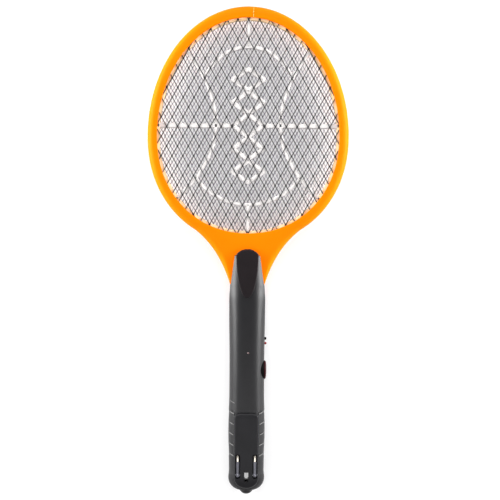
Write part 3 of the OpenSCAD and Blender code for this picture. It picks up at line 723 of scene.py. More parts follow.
@dataclass
class SpacerRibs:
    """The shape of a spacer between two heights."""

    head: Head
    low: float
    high: float
    rim_out: float = 5.0
    width: float = 3.8
    bar_width: float = 5.0
    lozenge_width: float = 4.8
    bevel: float = 0.9
    waist_y: float = 135.0
    waist: float = 35.0
    bow_up: float = 0.0049
    bow_down: float = 0.0067
    bow_reach: float = 80.0
    arc_half: float = 85.8
    arc_up: Size = (60.8, 37.0)
    arc_down: Size = (76.0, 41.0)
    overlap: float = 1.0
    lozenge: Size = (20.0, 13.5)
    lozenge_share: float = 0.86
    lozenge_tuck: float = 4.0
    lozenge_step: float = 25.0
    lozenge_count: int = 5

    def rim(self) -> Array:
        """Rings of the rim: a flat band that follows the opening, with a soft inner edge.

        Returns:
            Rings for Solid.skin.
        """
        angle = turns(360)
        inner = -self.head.ledge
        steps = ((self.rim_out, self.low), (self.rim_out, self.high), (inner + self.bevel, self.high),
                 (inner + BEVEL_STEP * self.bevel, self.high - BEVEL_STEP * self.bevel),
                 (inner, self.high - self.bevel),
                 (inner, self.low))
        return np.stack([self.head.opening(angle, grow, z) for grow, z in steps], axis=1)

    def paths(self) -> list[tuple[Array, float]]:
        """The ribs: straight bars, parabolas for the bows and parts of ellipses.

        Returns:
            Each rib's centre line and width.
        """
        head = self.head
        tip = head.centre + head.rise - head.tip_rim + self.overlap
        foot = head.centre - head.drop + head.foot_rim - self.overlap
        lines = [(np.array([(0, self.waist_y + self.arc_half), (0, tip)]), self.width),
                 (np.array([(0, foot), (0, self.waist_y - self.arc_half)]), self.width)]
        dy = np.linspace(self.bow_reach, -self.bow_reach, 60)
        bow = self.waist + np.where(dy > 0, self.bow_up, self.bow_down) * dy**2
        reach = head.half_width - head.side_rim + self.overlap
        for side in (-1, 1):
            lines.append((np.stack([side * bow, self.waist_y + dy], -1), self.width))
            near = self.lozenge[0] - self.lozenge_tuck
            bar = np.array([(side * near, self.waist_y), (side * reach, self.waist_y)])
            lines.append((bar, self.bar_width))
        for way, (half, start) in ((1, self.arc_up), (-1, self.arc_down)):
            t = np.radians(np.linspace(start, 180 - start, 48))
            arc = np.stack([half * np.cos(t), self.waist_y + way * self.arc_half * np.sin(t)], -1)
            lines.append((arc, self.width))
        return lines

    def rib_rings(self) -> list[tuple[Array, bool]]:
        """Every closed surface of the spacer's ribs and lozenges.

        Returns:
            Rings for Solid.skin, each with whether it is a closed loop.
        """
        found = []
        for line, width in self.paths():
            section = soft_section(width, self.low, self.high, self.bevel)
            found.append((sweep(np.column_stack([line, np.zeros(len(line))]), section), False))
        half, tall = self.lozenge
        section = soft_section(self.lozenge_width, self.low, self.high, self.bevel)
        corner = np.array([(half, 0), (0, tall), (-half, 0), (0, -tall), (half, 0)], float)
        around = np.linspace(0, 4, 64, endpoint=False)
        loop = np.stack([np.interp(around, np.arange(5), corner[:, k]) for k in (0, 1)], -1)
        loop *= self.lozenge_share
        for place in (np.arange(self.lozenge_count) - (self.lozenge_count - 1) / 2) * self.lozenge_step:
            path = np.column_stack([loop + [0, self.waist_y + place], np.zeros(len(loop))])
            found.append((sweep(path, section, closed=True), True))
        return found


@dataclass
class MeshWeave:
    """An expanded-metal mesh: zigzag strands that meet side by side at the knots."""

    head: Head
    pitch: float
    strand: float
    sides: int
    bond: float = 1.9
    tall: float = 1.797
    knot_y: float = 250.2
    shift: float = 0.0
    swell: float = 1.12
    knot_share: float = 1.1
    tuck: float = 2.0
    step: float = 0.1
    shortest: int = 40
    end_gap: float = 0.3
    band: Size = (0.9, 3.0)

    def lean(self, phase: Array) -> Array:
        """A strand's sideways place: a triangle wave that is level over each knot's length.

        Args:
            phase: places along the strand, in periods.

        Returns:
            The place at each phase, from -1 to 1.
        """
        gain = 1 / (1 - 2 * self.bond / (self.pitch * self.tall))
        wave = 1 - 4 * np.abs(phase - np.round(phase))
        return np.clip(gain * wave, -1, 1)

    def section(self, low: float, high: float) -> Array:
        """The strand's section across X and Z: a polygon stretched to the strand's width and height.

        Args:
            low: the strand's lowest height.
            high: its highest height.

        Returns:
            The section's points.
        """
        angle = np.pi / self.sides + turns(self.sides)
        form = np.stack([np.cos(angle), np.sin(angle)], -1) / math.cos(math.pi / self.sides)
        return form * [self.strand * self.swell / 2, (high - low) / 2] + [0, (low + high) / 2]

    def solid(self, low: float, high: float) -> Solid:
        """All strands between two heights, with the edge band that the frame clamps.

        Args:
            low: the mesh's lowest height.
            high: its highest height.

        Returns:
            The mesh's solid.
        """
        made = Solid()
        angle = turns(240)
        corners = ((self.band[0], low), (self.band[1], low), (self.band[1], high), (self.band[0], high))
        made.skin(np.stack([self.head.opening(angle, grow, z) for grow, z in corners], axis=1), closed=True)
        section = self.section(low, high)
        period = self.pitch * self.tall
        swing = (self.pitch / 2 - self.strand * self.knot_share) / 2
        dense = np.arange(self.head.centre - self.head.drop, self.head.centre + self.head.rise, self.step)
        bond_phase = self.bond / 2 / period
        rows = np.arange(0, 2 * (self.head.rise + self.head.drop) / period + 2) / 2
        phases = np.sort(np.concatenate([rows - bond_phase, rows + bond_phase]))
        reach = int(self.head.half_width / self.pitch * 2) + 1
        for number in range(-reach, reach):
            middle = (number + 0.5) * self.pitch / 2 + self.shift
            side = -1 if number % 2 == 0 else 1
            x = middle + side * swing * self.lean((self.knot_y - dense) / period)
            off = dense - self.head.centre
            inside = np.hypot(x, off) < self.head.radius(np.arctan2(off, x), -self.tuck, self.head.rims)
            if inside.sum() < self.shortest:
                continue
            ends = dense[inside][[0, -1]]
            y = self.knot_y - phases * period
            between = (y < ends[1] - self.end_gap) & (y > ends[0] + self.end_gap)
            y = np.concatenate([[ends[1]], y[between], [ends[0]]])
            x = middle + side * swing * self.lean((self.knot_y - y) / period)
            made.skin(stack(x[:, None] + section[None, :, 0], y[:, None], section[None, :, 1]))
        return made


# --- handle -------------------------------------------------------------------------------------


@dataclass
class Handle:
    """The handle: two shells with grip ribs, the neck cover, the plug plate and the nub."""

    # Places along Y with the half width there, from the neck to the foot.
    stations: tuple[Size, ...] = ((-38, 18.7), (-54, 19.5), (-72, 19.5), (-120, 18.9), (-155, 18.9),
                                  (-195, 20.1), (-238, 18.9), (-247, 19.5))
    end_depth: float = 13.3
    end_half: float = 6.0
    half_height: float = 17.6
    wall: float = 2.0
    # The crown takes the section's top off, and the arch is the section near the neck.
    blend: float = 1.2
    blend_height: float = 6.0
    slope_start: float = -50.0
    slope: float = 5.2 / 56
    foot_start: float = -244.0
    foot_reach: float = 21.0
    arch_start: float = -84.0
    arch_full: float = -42.0
    arch_rise: float = 0.4
    arch_share: float = 0.97
    arch_power: float = 2.3
    side_power: float = 6.0
    # The collar over the neck.
    neck_y: float = -38.0
    collar_end: float = -5.8
    collar_halves: Size = (18.7, 14.0)
    collar_rows: Place = (0.0, 0.25, 0.9)
    collar_nose: float = 2.7
    collar_round: float = 2.4
    collar_sink: Size = (0.35, 0.45)
    # The grip: sunk side panels, a ridge along them and slanted ribs across them.
    grip: Size = (-227.0, -160.0)
    panel_ends: Size = (-224.0, -173.0)
    panel_degrees: float = 46.0
    panel_depth: float = 0.3
    ridge_degrees: float = 46.5
    ridge_width: float = 1.8
    ridge_height: float = 0.35
    rib_rows: tuple[float, ...] = (-175.9, -187.3, -198.7, -210.1, -221.5)
    rib_radius: float = 0.42
    rib_degrees: Size = (21.0, 47.0)
    faint_row: float = -164.2
    faint_radius: float = 0.32
    # The neck cover, whose steps pair a share of its outline with a drop, or with nothing under the shell.
    nose_y: float = 1.0
    cover_half: float = 12.1
    cover_corner: float = -5.0
    cover_middle: float = 9.0
    cover_length: float = 47.0
    cover_arc: float = 0.28
    cover_under: float = 1.5
    cover_round: float = 1.2
    cover_lift: float = 0.45
    cover_crown: float = 0.8
    cover_steps: tuple = ((0.3, None), (0.98, None), (1.0, 0.9), (0.997, 0.55), (0.985, 0.25), (0.965, 0.06),
                          (0.94, 0.0), (0.8, 0.0), (0.6, 0.0), (0.4, 0.0), (0.2, 0.0), (0.01, 0.0))
    # The plug plate, whose steps pair an inset with a drop, or with nothing at its bottom.
    plate_half: float = 13.1
    plate_top_y: float = -175.4
    plate_arch: float = 3.1
    plate_end: float = -246.0
    plate_depth: float = 11.5
    plate_thick: float = 8.0
    plate_gap: float = 0.15
    plate_bed: float = 26.2
    plate_reach: float = 26.0
    plate_ledge: Place = (1.4, 5.4, 1.6)  # drop, length and power of its rounded top end
    plate_steps: tuple = ((0.0, None), (0.0, 1.9), (0.25, 1.1), (0.8, 0.4), (1.5, 0.08), (2.2, 0.0),
                          (5.0, 0.0), (8.0, 0.0), (11.0, 0.0), (12.9, 0.0))
    trough_half: float = 2.6
    trough_ends: Size = (-246.5, -220.5)
    trough_round: float = 1.5
    trough_floor: float = 28.6
    above: float = 40.0
    # Where the foot's painted shade starts, its nub, the lanyard slot and the openings in the side and the
    # back.
    foot_shade_line: float = -243.0
    nub_radius: float = 7.8
    nub_stretch: float = 1.25
    lanyard_half: float = 2.2
    lanyard_tip: float = 0.8
    lanyard: Size = (-250.9, -241.0)
    notch_top: float = -238.4
    notch_floor: float = 20.0
    slot_gap: float = 0.8
    slot_rise: float = 12.0
    below: float = -5.0
    sleeve_wall: float = 1.5
    side_reach: Size = (12.0, 26.0)
    button_gap: float = 0.3
    knob_gaps: Place = (0.35, 3.35, 0.3)  # towards the foot, towards the head and beside the knob
    lamp_hole: float = 1.55
    front_lamp_hole: float = 1.05
    lamp_cut: Size = (-8.0, 4.0)
    well_start: float = -10.0
    well_depth: float = 1.95
    well_radius: float = 2.8
    split: float = field(init=False)
    top: float = field(init=False)
    head_top: float = field(init=False)
    plate_top: float = field(init=False)

    def __post_init__(self) -> None:
        """Reads the parting plane, the front's height and the place of the plug plate from the frame."""
        low, high = box_mm("handle_front_shell")
        self.split = low[2]
        self.top = high[2]
        self.head_top = box_mm("head_frame_front")[1][2]
        self.plate_top = box_mm("plug_plate")[1][2]

    def half_width(self, y: Array) -> Array:
        """Half width at y: eased from station to station, then a quarter ellipse at the foot.

        Args:
            y: places along the handle.

        Returns:
            The half width at each place.
        """
        places = np.array(self.stations, float)[::-1]
        y = np.asarray(y, float)
        part = np.clip(np.searchsorted(places[:, 0], y) - 1, 0, len(places) - 2)
        low, high = places[part], places[part + 1]
        share = np.clip((y - low[..., 0]) / (high[..., 0] - low[..., 0]), 0, 1)
        eased = low[..., 1] + (high[..., 1] - low[..., 1]) * (1 - np.cos(np.pi * share)) / 2
        past = np.clip((places[0, 0] - y) / self.end_depth, 0, 1)
        foot = self.end_half + (places[0, 1] - self.end_half) * np.sqrt(1 - past**2)
        return np.where(y < places[0, 0], foot, eased)

    def height_share(self, y: Array, reach: float) -> Array:
        """How much of a height is left at y: all of it, then an ellipse of that reach towards the foot."""
        return np.sqrt(1 - (np.clip(self.foot_start - y, 0, 20) / reach) ** 2)

    def crown(self, y: Array) -> Array:
        """Height of the front's level strip at y: it slopes down towards the head."""
        return self.top - self.slope * np.clip(y - self.slope_start, 0, None)

    def grip_relief(self, y: Array, t: Array) -> Array:
        """Relief of the grip: a sunk side panel and a rounded ridge between it and the plug plate.

        Args:
            y: places along the handle.
            t: angles of the section, 0 at the parting plane.

        Returns:
            The height to add to the outer face.
        """
        side = np.degrees(np.minimum(t, np.pi - t))
        low, high = self.panel_ends
        along = np.clip((high - y) / 2, 0, 1) * np.clip((y - low) / 2, 0, 1)
        ridge = np.exp(-(((side - self.ridge_degrees) / self.ridge_width) ** 2)) * along
        panel = np.clip((self.panel_degrees - side) / 2, 0, 1) * along
        return self.ridge_height * ridge - self.panel_depth * panel

    def shell_z(self, across: Array, y: Array, inset: float = 0.0) -> Array:
        """Height over the parting plane at a share of the half width.

        Along the grip the section is an ellipse. Towards the head it turns into an arch over upright sides,
        which is the collar's section. The crown takes the top off softly.

        Args:
            across: distance from the centre line as a share of the half width.
            y: places along the handle.
            inset: how far the face is drawn in.

        Returns:
            Heights over the parting plane.
        """
        off = np.abs(across)
        tall = (self.half_height - inset) * self.height_share(y, self.foot_reach)
        level = (self.crown(y) - self.split - inset) * self.height_share(y, self.foot_reach)
        foot = self.head_top - self.split
        ellipse = tall * np.sqrt(np.clip(1 - off**2, 0, 1))
        arch = foot + (level + self.arch_rise - foot) * (1 - (off / self.arch_share) ** self.arch_power)
        sides = tall * np.clip(1 - off**self.side_power, 0, 1) ** (1 / self.side_power)
        share = np.clip((y - self.arch_start) / (self.arch_full - self.arch_start), 0, 1)
        share = share * share * (3 - 2 * share)
        z = ellipse + (np.minimum(arch, sides) - ellipse) * share
        soft = level - self.blend * np.logaddexp(0, (level - z) / self.blend)
        near = np.clip(z / self.blend_height, 0, 1)
        return near * soft + (1 - near) * np.minimum(z, level)

    def collar_half(self, y: Array) -> Array:
        """Half width of the collar over the neck at y."""
        return np.interp(y, [self.neck_y, self.collar_end], self.collar_halves)

    def shell_grids(self, collar: bool) -> tuple[Array, Array]:
        """Outer and inner face of a shell half, with the collar over the neck if it is asked for.

        Each row is a section at equal angle steps, as shell_z gives it. The collar's rows end on the head's
        face, and its nose falls as a quarter ellipse.

        Args:
            collar: whether the rows go on over the neck.

        Returns:
            Two grids for Solid.wall.
        """
        low, high = self.grip
        end = self.stations[-1][0]
        y = np.concatenate([np.linspace(self.neck_y, high, 62)[:-1], np.linspace(high, low, 130)[:-1],
                            np.linspace(low, end, 14)[:-1],
                            end - (self.end_depth - HAIR) * np.sin(np.linspace(0, np.pi / 2, 16))])[:, None]
        t = np.linspace(0, np.pi, 81)[None, :]
        swell = 1 + self.grip_relief(y, t) / self.half_height
        first, last = self.collar_end - self.collar_nose, self.neck_y + 0.01
        over = np.concatenate([self.collar_end - np.array(self.collar_rows),
                               np.linspace(first, last, 28)])[:, None]
        fade = np.sqrt(1 - np.clip((over - self.collar_end) / self.collar_round + 1, 0, 0.98) ** 2)
        share = np.cos(t)
        faces = []
        for inset, relief, sink in zip((0.0, self.wall), (swell, 1.0), self.collar_sink):
            face = stack((self.half_width(y) - inset) * share * relief, y,
                         self.split + self.shell_z(share, y, inset) * relief)
            face[:, [0, -1], 2] = self.split
            if collar:
                z = self.head_top + (self.split + self.shell_z(share, over, inset) - self.head_top) * fade
                rows = stack((self.collar_half(over) - inset / 4) * share, over,
                             np.maximum(z, self.head_top - sink))
                face = np.concatenate([rows, face])
            faces.append(face)
        return faces[0], faces[1]

    def cover_surface(self, share: float, turn: Array) -> Array:
        """Plan points of the neck cover: its outline drawn in towards a middle point by share.

        The outline is an arc across the nose and a half ellipse that runs down the handle.

        Args:
            share: one on the outline, zero at the middle point.
            turn: places round the outline, from 0 to 1.

        Returns:
            X and Y at each place.
        """
        middle = self.cover_corner - self.cover_middle
        rise = self.nose_y - self.cover_corner
        radius = (self.cover_half**2 + rise**2) / (2 * rise)
        lean = math.asin(self.cover_half / radius)
        across = lean * (1 - 2 * np.clip(turn / self.cover_arc, 0, 1))
        nose = np.stack([radius * np.sin(across), self.nose_y - radius + radius * np.cos(across)], -1)
        down = np.pi * np.clip((turn - self.cover_arc) / (1 - self.cover_arc), 0, 1)
        tail = np.stack([-self.cover_half * np.cos(down),
                         self.cover_corner - self.cover_length * np.sin(down)], -1)
        plan = np.where(turn[:, None] <= self.cover_arc, nose, tail)
        return [0, middle] + (plan - [0, middle]) * share

    def body_z(self, x: Array, y: Array) -> Array:
        """Height of the front shell's face over a plan point, collar included."""
        half = np.where(y > self.neck_y, self.collar_half(y), self.half_width(y))
        return self.split + self.shell_z(np.clip(x / half, -1, 1), y)

    def cover_rings(self) -> Array:
        """Rings of the neck cover: a slightly crowned slab over the sloping face, with a rounded edge.

        Returns:
            Rings for Solid.skin.
        """
        turn = np.linspace(0, 1, 120, endpoint=False)
        rings = []
        for share, drop in self.cover_steps:
            plan = self.cover_surface(share, turn)
            x, y = plan.T
            if drop is None:
                z = self.body_z(x, y) - self.cover_under
            else:
                face = self.crown(y) + self.cover_lift - drop - self.cover_crown * (x / self.cover_half) ** 2
                nose = np.clip((self.nose_y - y) / self.cover_round, 0, 1)
                z = self.head_top + (face - self.head_top) * np.sqrt(1 - (1 - nose) ** 2)
            rings.append(np.column_stack([plan, z]))
        return np.stack(rings)

    def plate_outline(self, inset: float) -> Array:
        """Plan of the plug plate: an arched top, straight sides and a half ellipse below.

        Args:
            inset: how far it is drawn in.

        Returns:
            The outline's points.
        """
        x = np.linspace(-1, 1, 33)
        half = self.plate_half - inset
        top = np.stack([-half * x, self.plate_top_y - inset - self.plate_arch * np.abs(x) ** 4], -1)
        side_y = np.linspace(self.plate_top_y - self.plate_arch - inset, self.plate_end, 40)[1:-1]
        left = np.stack([np.full(len(side_y), half), side_y], -1)
        t = np.linspace(0, np.pi, 40)
        foot = np.stack([half * np.cos(t), self.plate_end - (self.plate_depth - inset) * np.sin(t)], -1)
        return np.concatenate([top[::-1], left, foot, left[::-1] * [-1, 1]])[::-1]

    def plate_z(self, y: Array) -> Array:
        """Height of the plug plate's face: rounded off at its top end, level, and bent down at the foot.

        Args:
            y: places along the handle.

        Returns:
            The height at each place.
        """
        drop, length, power = self.plate_ledge
        share = np.clip(y - self.plate_top_y + length, 0, length) / length
        top = self.plate_top - drop * share**power
        return self.split + (top - self.split) * self.height_share(y, self.plate_reach)

    def build_shells(self) -> None:
        """Builds both shells, cuts their openings and adds the lanyard's sleeve and the nub."""
        front = Solid().wall(*self.shell_grids(collar=True)).build("handle_front_cover")
        tool = self.side_cutters()
        tool.skin(self.bar(self.plate_outline(-self.plate_gap), (self.plate_bed, self.above)))
        tool.skin(self.lamp_cutter())
        cut(front, tool)
        dress(front, "swatter", "handle_front_shell")
        self.paint_foot_shade(front)
        outer, inner = self.shell_grids(collar=False)
        back = Solid().wall(turned_over(outer, self.split), turned_over(inner, self.split))
        back_cover = back.build("handle_back_cover")
        tool = self.side_cutters()
        tool.skin(self.bar(self.slot_outline(self.slot_gap), (self.below, self.split + self.slot_rise)))
        for x, y, z in Screws().handle_places():
            tool.skin(lathe([self.well_start, self.well_depth], [self.well_radius] * 2, 2, (x, y, z)))
        cut(back_cover, tool)
        dress(back_cover, "swatter", "handle_back_shell")
        self.paint_foot_shade(back_cover)
        self.build_sleeve()
        self.build_nub()
        self.build_ribs()

    def paint_foot_shade(self, shell: bpy.types.Object) -> None:
        """Gives the faces below the shoulder line a duller black with less sheen: painted shade where the
        light falls off at the foot.

        Args:
            shell: the shell's object.
        """
        shell.data.materials.append(FINISHES["foot_painted_shade"].material())
        centres = np.zeros(3 * len(shell.data.polygons))
        shell.data.polygons.foreach_get("center", centres)
        # faces below this line get the painted foot shade
        low = centres.reshape(-1, 3)[:, 1] < self.foot_shade_line * MM
        shell.data.polygons.foreach_set("material_index", low.astype(np.int32))
        shell.data.update()

    def rib_point(self, y: Array, t: Array, lift: float) -> Array:
        """Points on the front shell's face, lifted outwards.

        Args:
            y: places along the handle.
            t: angles of the section, 0 at the parting plane.
            lift: how far they stand off the face.

        Returns:
            The points.
        """
        share = np.cos(t)
        return stack((self.half_width(y) + lift) * share, y,
                     self.split + self.shell_z(share, y) * (1 + lift / self.half_height))

    def build_ribs(self) -> None:
        """Builds the grip's ribs: round bars along slanted lines on the shell, thinner at both ends."""
        solid = Solid()
        degrees = np.linspace(*self.rib_degrees, 24)
        slant = 0.1 * (np.mean(self.rib_degrees) - degrees)
        form = circle(1.0, 10)
        taper = np.sqrt(np.clip(1 - np.linspace(-1, 1, 24) ** 8, 0.02, 1))[:, None, None]
        right = [(row, self.rib_radius, np.radians(degrees)) for row in self.rib_rows]
        left = [(row, radius, np.pi - t) for row, radius, t in right]
        left.insert(0, (self.faint_row, self.faint_radius, left[0][2]))
        for row, radius, t in right + left:
            path = self.rib_point(row + slant, t, HAIR)
            out = self.rib_point(row + slant, t, 1.0) - path
            out /= np.linalg.norm(out, axis=1, keepdims=True)
            rings = path[:, None] + radius * taper * (out[:, None] * form[:, :1] + form[:, 1:] * [0, 1, 0])
            solid.skin(rings).skin(turned_over(rings, self.split))
        dress(solid.build("grip_ribs"), "swatter", finish="rib_grey", slot="charcoal_abs")

    def side_cutters(self) -> Solid:
        """Cutters for the button, the lamp and the switch's knob in the right side.

        Returns:
            The cutters.
        """
        tool = Solid()
        low, high = box_mm("button_cap")
        for node, radius, sides in (("button_cap", (high[1] - low[1]) / 2 + self.button_gap, 72),
                                    ("side_lamp", self.lamp_hole, 24)):
            origin = (0, middle_mm(node)[1], self.split)
            tool.skin(lathe(self.side_reach, [radius] * 2, 0, origin, sides))
        low, high = box_mm("slide_switch_knob")
        below, above, beside = self.knob_gaps
        return tool.skin(beam(self.side_reach, (low[1] - below, high[1] + above),
                              (low[2] - beside, high[2] + beside)))

    def lamp_cutter(self) -> Array:
        """The cutter for the front lamp's hole: an upright round bar.

        Returns:
            Rings for Solid.skin.
        """
        x, y, _ = middle_mm("front_lamp")
        _, high = box_mm("front_lamp")
        return lathe(self.lamp_cut, [self.front_lamp_hole] * 2, 2, (x, y, high[2]), 24)

    def slot_outline(self, grow: float) -> Array:
        """Plan of the lanyard slot: square above, pointed below.

        Args:
            grow: how far it is grown all round.

        Returns:
            The outline's points.
        """
        half, tip = self.lanyard_half + grow, self.lanyard_tip + grow
        low, high = self.lanyard
        right = np.array([(half, high + grow), (half, low + 2), (tip, low - grow)])
        return np.concatenate([right, right[::-1] * [-1, 1]])

    @staticmethod
    def bar(plan: Array, heights: tuple[float, float]) -> Array:
        """Rings of an upright bar with that plan between two heights."""
        return stack(plan[None, :, 0], plan[None, :, 1], np.array(heights)[:, None])

    def build_sleeve(self) -> None:
        """Builds the sleeve that lines the lanyard slot from the back to the plug plate."""
        inner, outer = self.slot_outline(0.0), self.slot_outline(self.sleeve_wall)
        top = self.plate_top - self.plate_thick
        rings = np.stack([np.column_stack([plan, np.full(len(plan), z)])
                          for plan, z in ((outer, HAIR), (outer, top), (inner, top), (inner, HAIR))], axis=1)
        dress(Solid().skin(rings, closed=True).build("lanyard_sleeve"), "swatter", finish="charcoal_abs")

    def build_nub(self) -> None:
        """Builds the dark nub at the foot: an ellipsoid."""
        radius, end = self.nub_radius, box_mm("handle_front_shell")[0][1]
        along = np.linspace(POLE, np.pi - POLE, 24)
        ring = lathe(-radius * np.cos(along), radius * np.sin(along), 1, (0, end + radius, 0), 48)
        ring[..., 2] = self.split + ring[..., 2] * self.nub_stretch
        dress(Solid().skin(ring).build("foot_nub"), "swatter", finish="black_abs")

    def build_cover(self) -> None:
        """Builds the neck cover."""
        dress(Solid().skin(self.cover_rings()).build("neck_cover_pad"), "swatter", "neck_cover")

    def build_plate(self) -> None:
        """Builds the plug plate: a bevelled pad with two pin troughs and the lanyard slot."""
        outline = self.plate_outline(0.0)
        spine = outline * [0, 1]
        spine[:, 1] = np.clip(spine[:, 1], self.plate_end, self.plate_top_y - self.plate_half)
        rings = []
        for inset, drop in self.plate_steps:
            plan = spine + (outline - spine) * (1 - inset / self.plate_half)
            z = self.plate_top - self.plate_thick if drop is None else self.plate_z(plan[:, 1]) - drop
            rings.append(stack(plan[:, 0], plan[:, 1], z))
        plate = Solid().skin(np.stack(rings)).build("plug_plate_pad")
        tool = Solid()
        for node in ("left_pin", "right_pin"):
            tool.skin(self.trough(middle_mm(node)[0]))
        notch = self.slot_outline(0.0)
        notch[[0, -1], 1] = self.notch_top
        tool.skin(self.bar(notch, (self.notch_floor, self.above)))
        cut(plate, tool)
        dress(plate, "swatter", "plug_plate", finish="plate_black", slot=SLOT_OF["plug_plate"])

    def trough(self, x: float) -> Array:
        """The cutter for one pin's slot: a bar with rounded ends in plan.

        Args:
            x: the slot's place across the handle.

        Returns:
            Rings for Solid.skin.
        """
        t = np.linspace(0, np.pi, 13)
        end = np.stack([self.trough_half * np.cos(t), self.trough_round * np.sin(t)], -1)
        low, high = self.trough_ends
        plan = np.concatenate([end + [x, high - self.trough_round], [x, low + self.trough_round] - end])
        return self.bar(plan, (self.trough_floor, self.above))


# --- fasteners, controls and plug ---------------------------------------------------------------


@dataclass
class Screws:
    """Cross-head screws."""

    head_radius: float = 2.45
    head_height: float = 1.75
    shank_radius: float = 1.3
    thread_depth: float = 0.2
    pitch: float = 1.1
    margin: float = 2.5
    cross_depth: float = 0.9
    cross_half: float = 0.42
    cross_reach: float = 1.75
    cross_edge: float = 0.12
    cross_end: float = 0.2
    face_share: float = 0.82
    face_round: float = 0.35
    edge_steps: tuple[Size, ...] = ((0.93, 0.45), (1.0, 0.8))
    neck_screw: Size = (10.0, -50.0)
    rows: Place = (-100.0, -156.0, -215.0)

    def head_places(self) -> list[Place]:
        """The outer ends of the head's two screws.

        Returns:
            X, Y and Z of each.
        """
        low, high = box_mm("head_screws")
        return [(x, (low[1] + high[1]) / 2, low[2]) for x in (low[0] + self.margin, high[0] - self.margin)]

    def handle_places(self) -> list[Place]:
        """The outer ends of the handle's five screws: two at the neck, one at the side and two in the middle.

        Returns:
            X, Y and Z of each.
        """
        low, _ = box_mm("handle_screws")
        x, y = self.neck_screw
        side, middle, plate = self.rows
        return [(-x, y, low[2]), (x, y, low[2]), (low[0] + self.margin, side, low[2] + 3),
                (0.0, middle, low[2]), (0.0, plate, low[2])]

    def head_rings(self) -> Array:
        """Rings of a head from its crossed face to its seat: a pan form with a cross pressed into it.

        Each ring is a circle, and the face drops where the nearer axis is closer than the cross's half width.

        Returns:
            Rings for Solid.skin.
        """
        form = circle(1.0, 64)
        rings = []
        for radius in np.linspace(HAIR, self.head_radius * self.face_share, 14):
            plan = radius * form
            near = np.abs(plan).min(axis=1)
            depth = self.cross_depth * np.clip((self.cross_half - near) / self.cross_edge, 0, 1)
            depth *= np.clip((self.cross_reach - radius) / self.cross_end, 0, 1)
            rings.append(np.column_stack([plan, self.face_round * (radius / self.head_radius) ** 2 + depth]))
        for share, z in (*self.edge_steps, (1.0, self.head_height)):
            rings.append(np.column_stack([self.head_radius * share * form, np.full(len(form), z)]))
        return np.stack(rings)

    def shank_rings(self, length: float) -> Array:
        """Rings of a threaded shank: its radius follows a rounded wave along it.

        Args:
            length: the shank's length.

        Returns:
            Rings for Solid.skin.
        """
        along = np.linspace(0, length, max(12, int(length / self.pitch * 6)))
        wave = 0.5 + 0.5 * np.cos(2 * np.pi * along / self.pitch)
        return lathe(along, self.shank_radius - self.thread_depth * wave, 2, (0, 0, self.head_height), 20)

    def build(self) -> None:
        """Builds the head's and the handle's screws."""
        for node, places in (("head_screws", self.head_places()), ("handle_screws", self.handle_places())):
            top = box_mm(node)[1][2]
            solid = Solid()
            for x, y, z in places:
                solid.skin(self.head_rings() + [x, y, z])
                solid.skin(self.shank_rings(top - z - self.head_height) + [x, y, z])
            dress(solid.build(node + "_set", 30), "swatter", node)


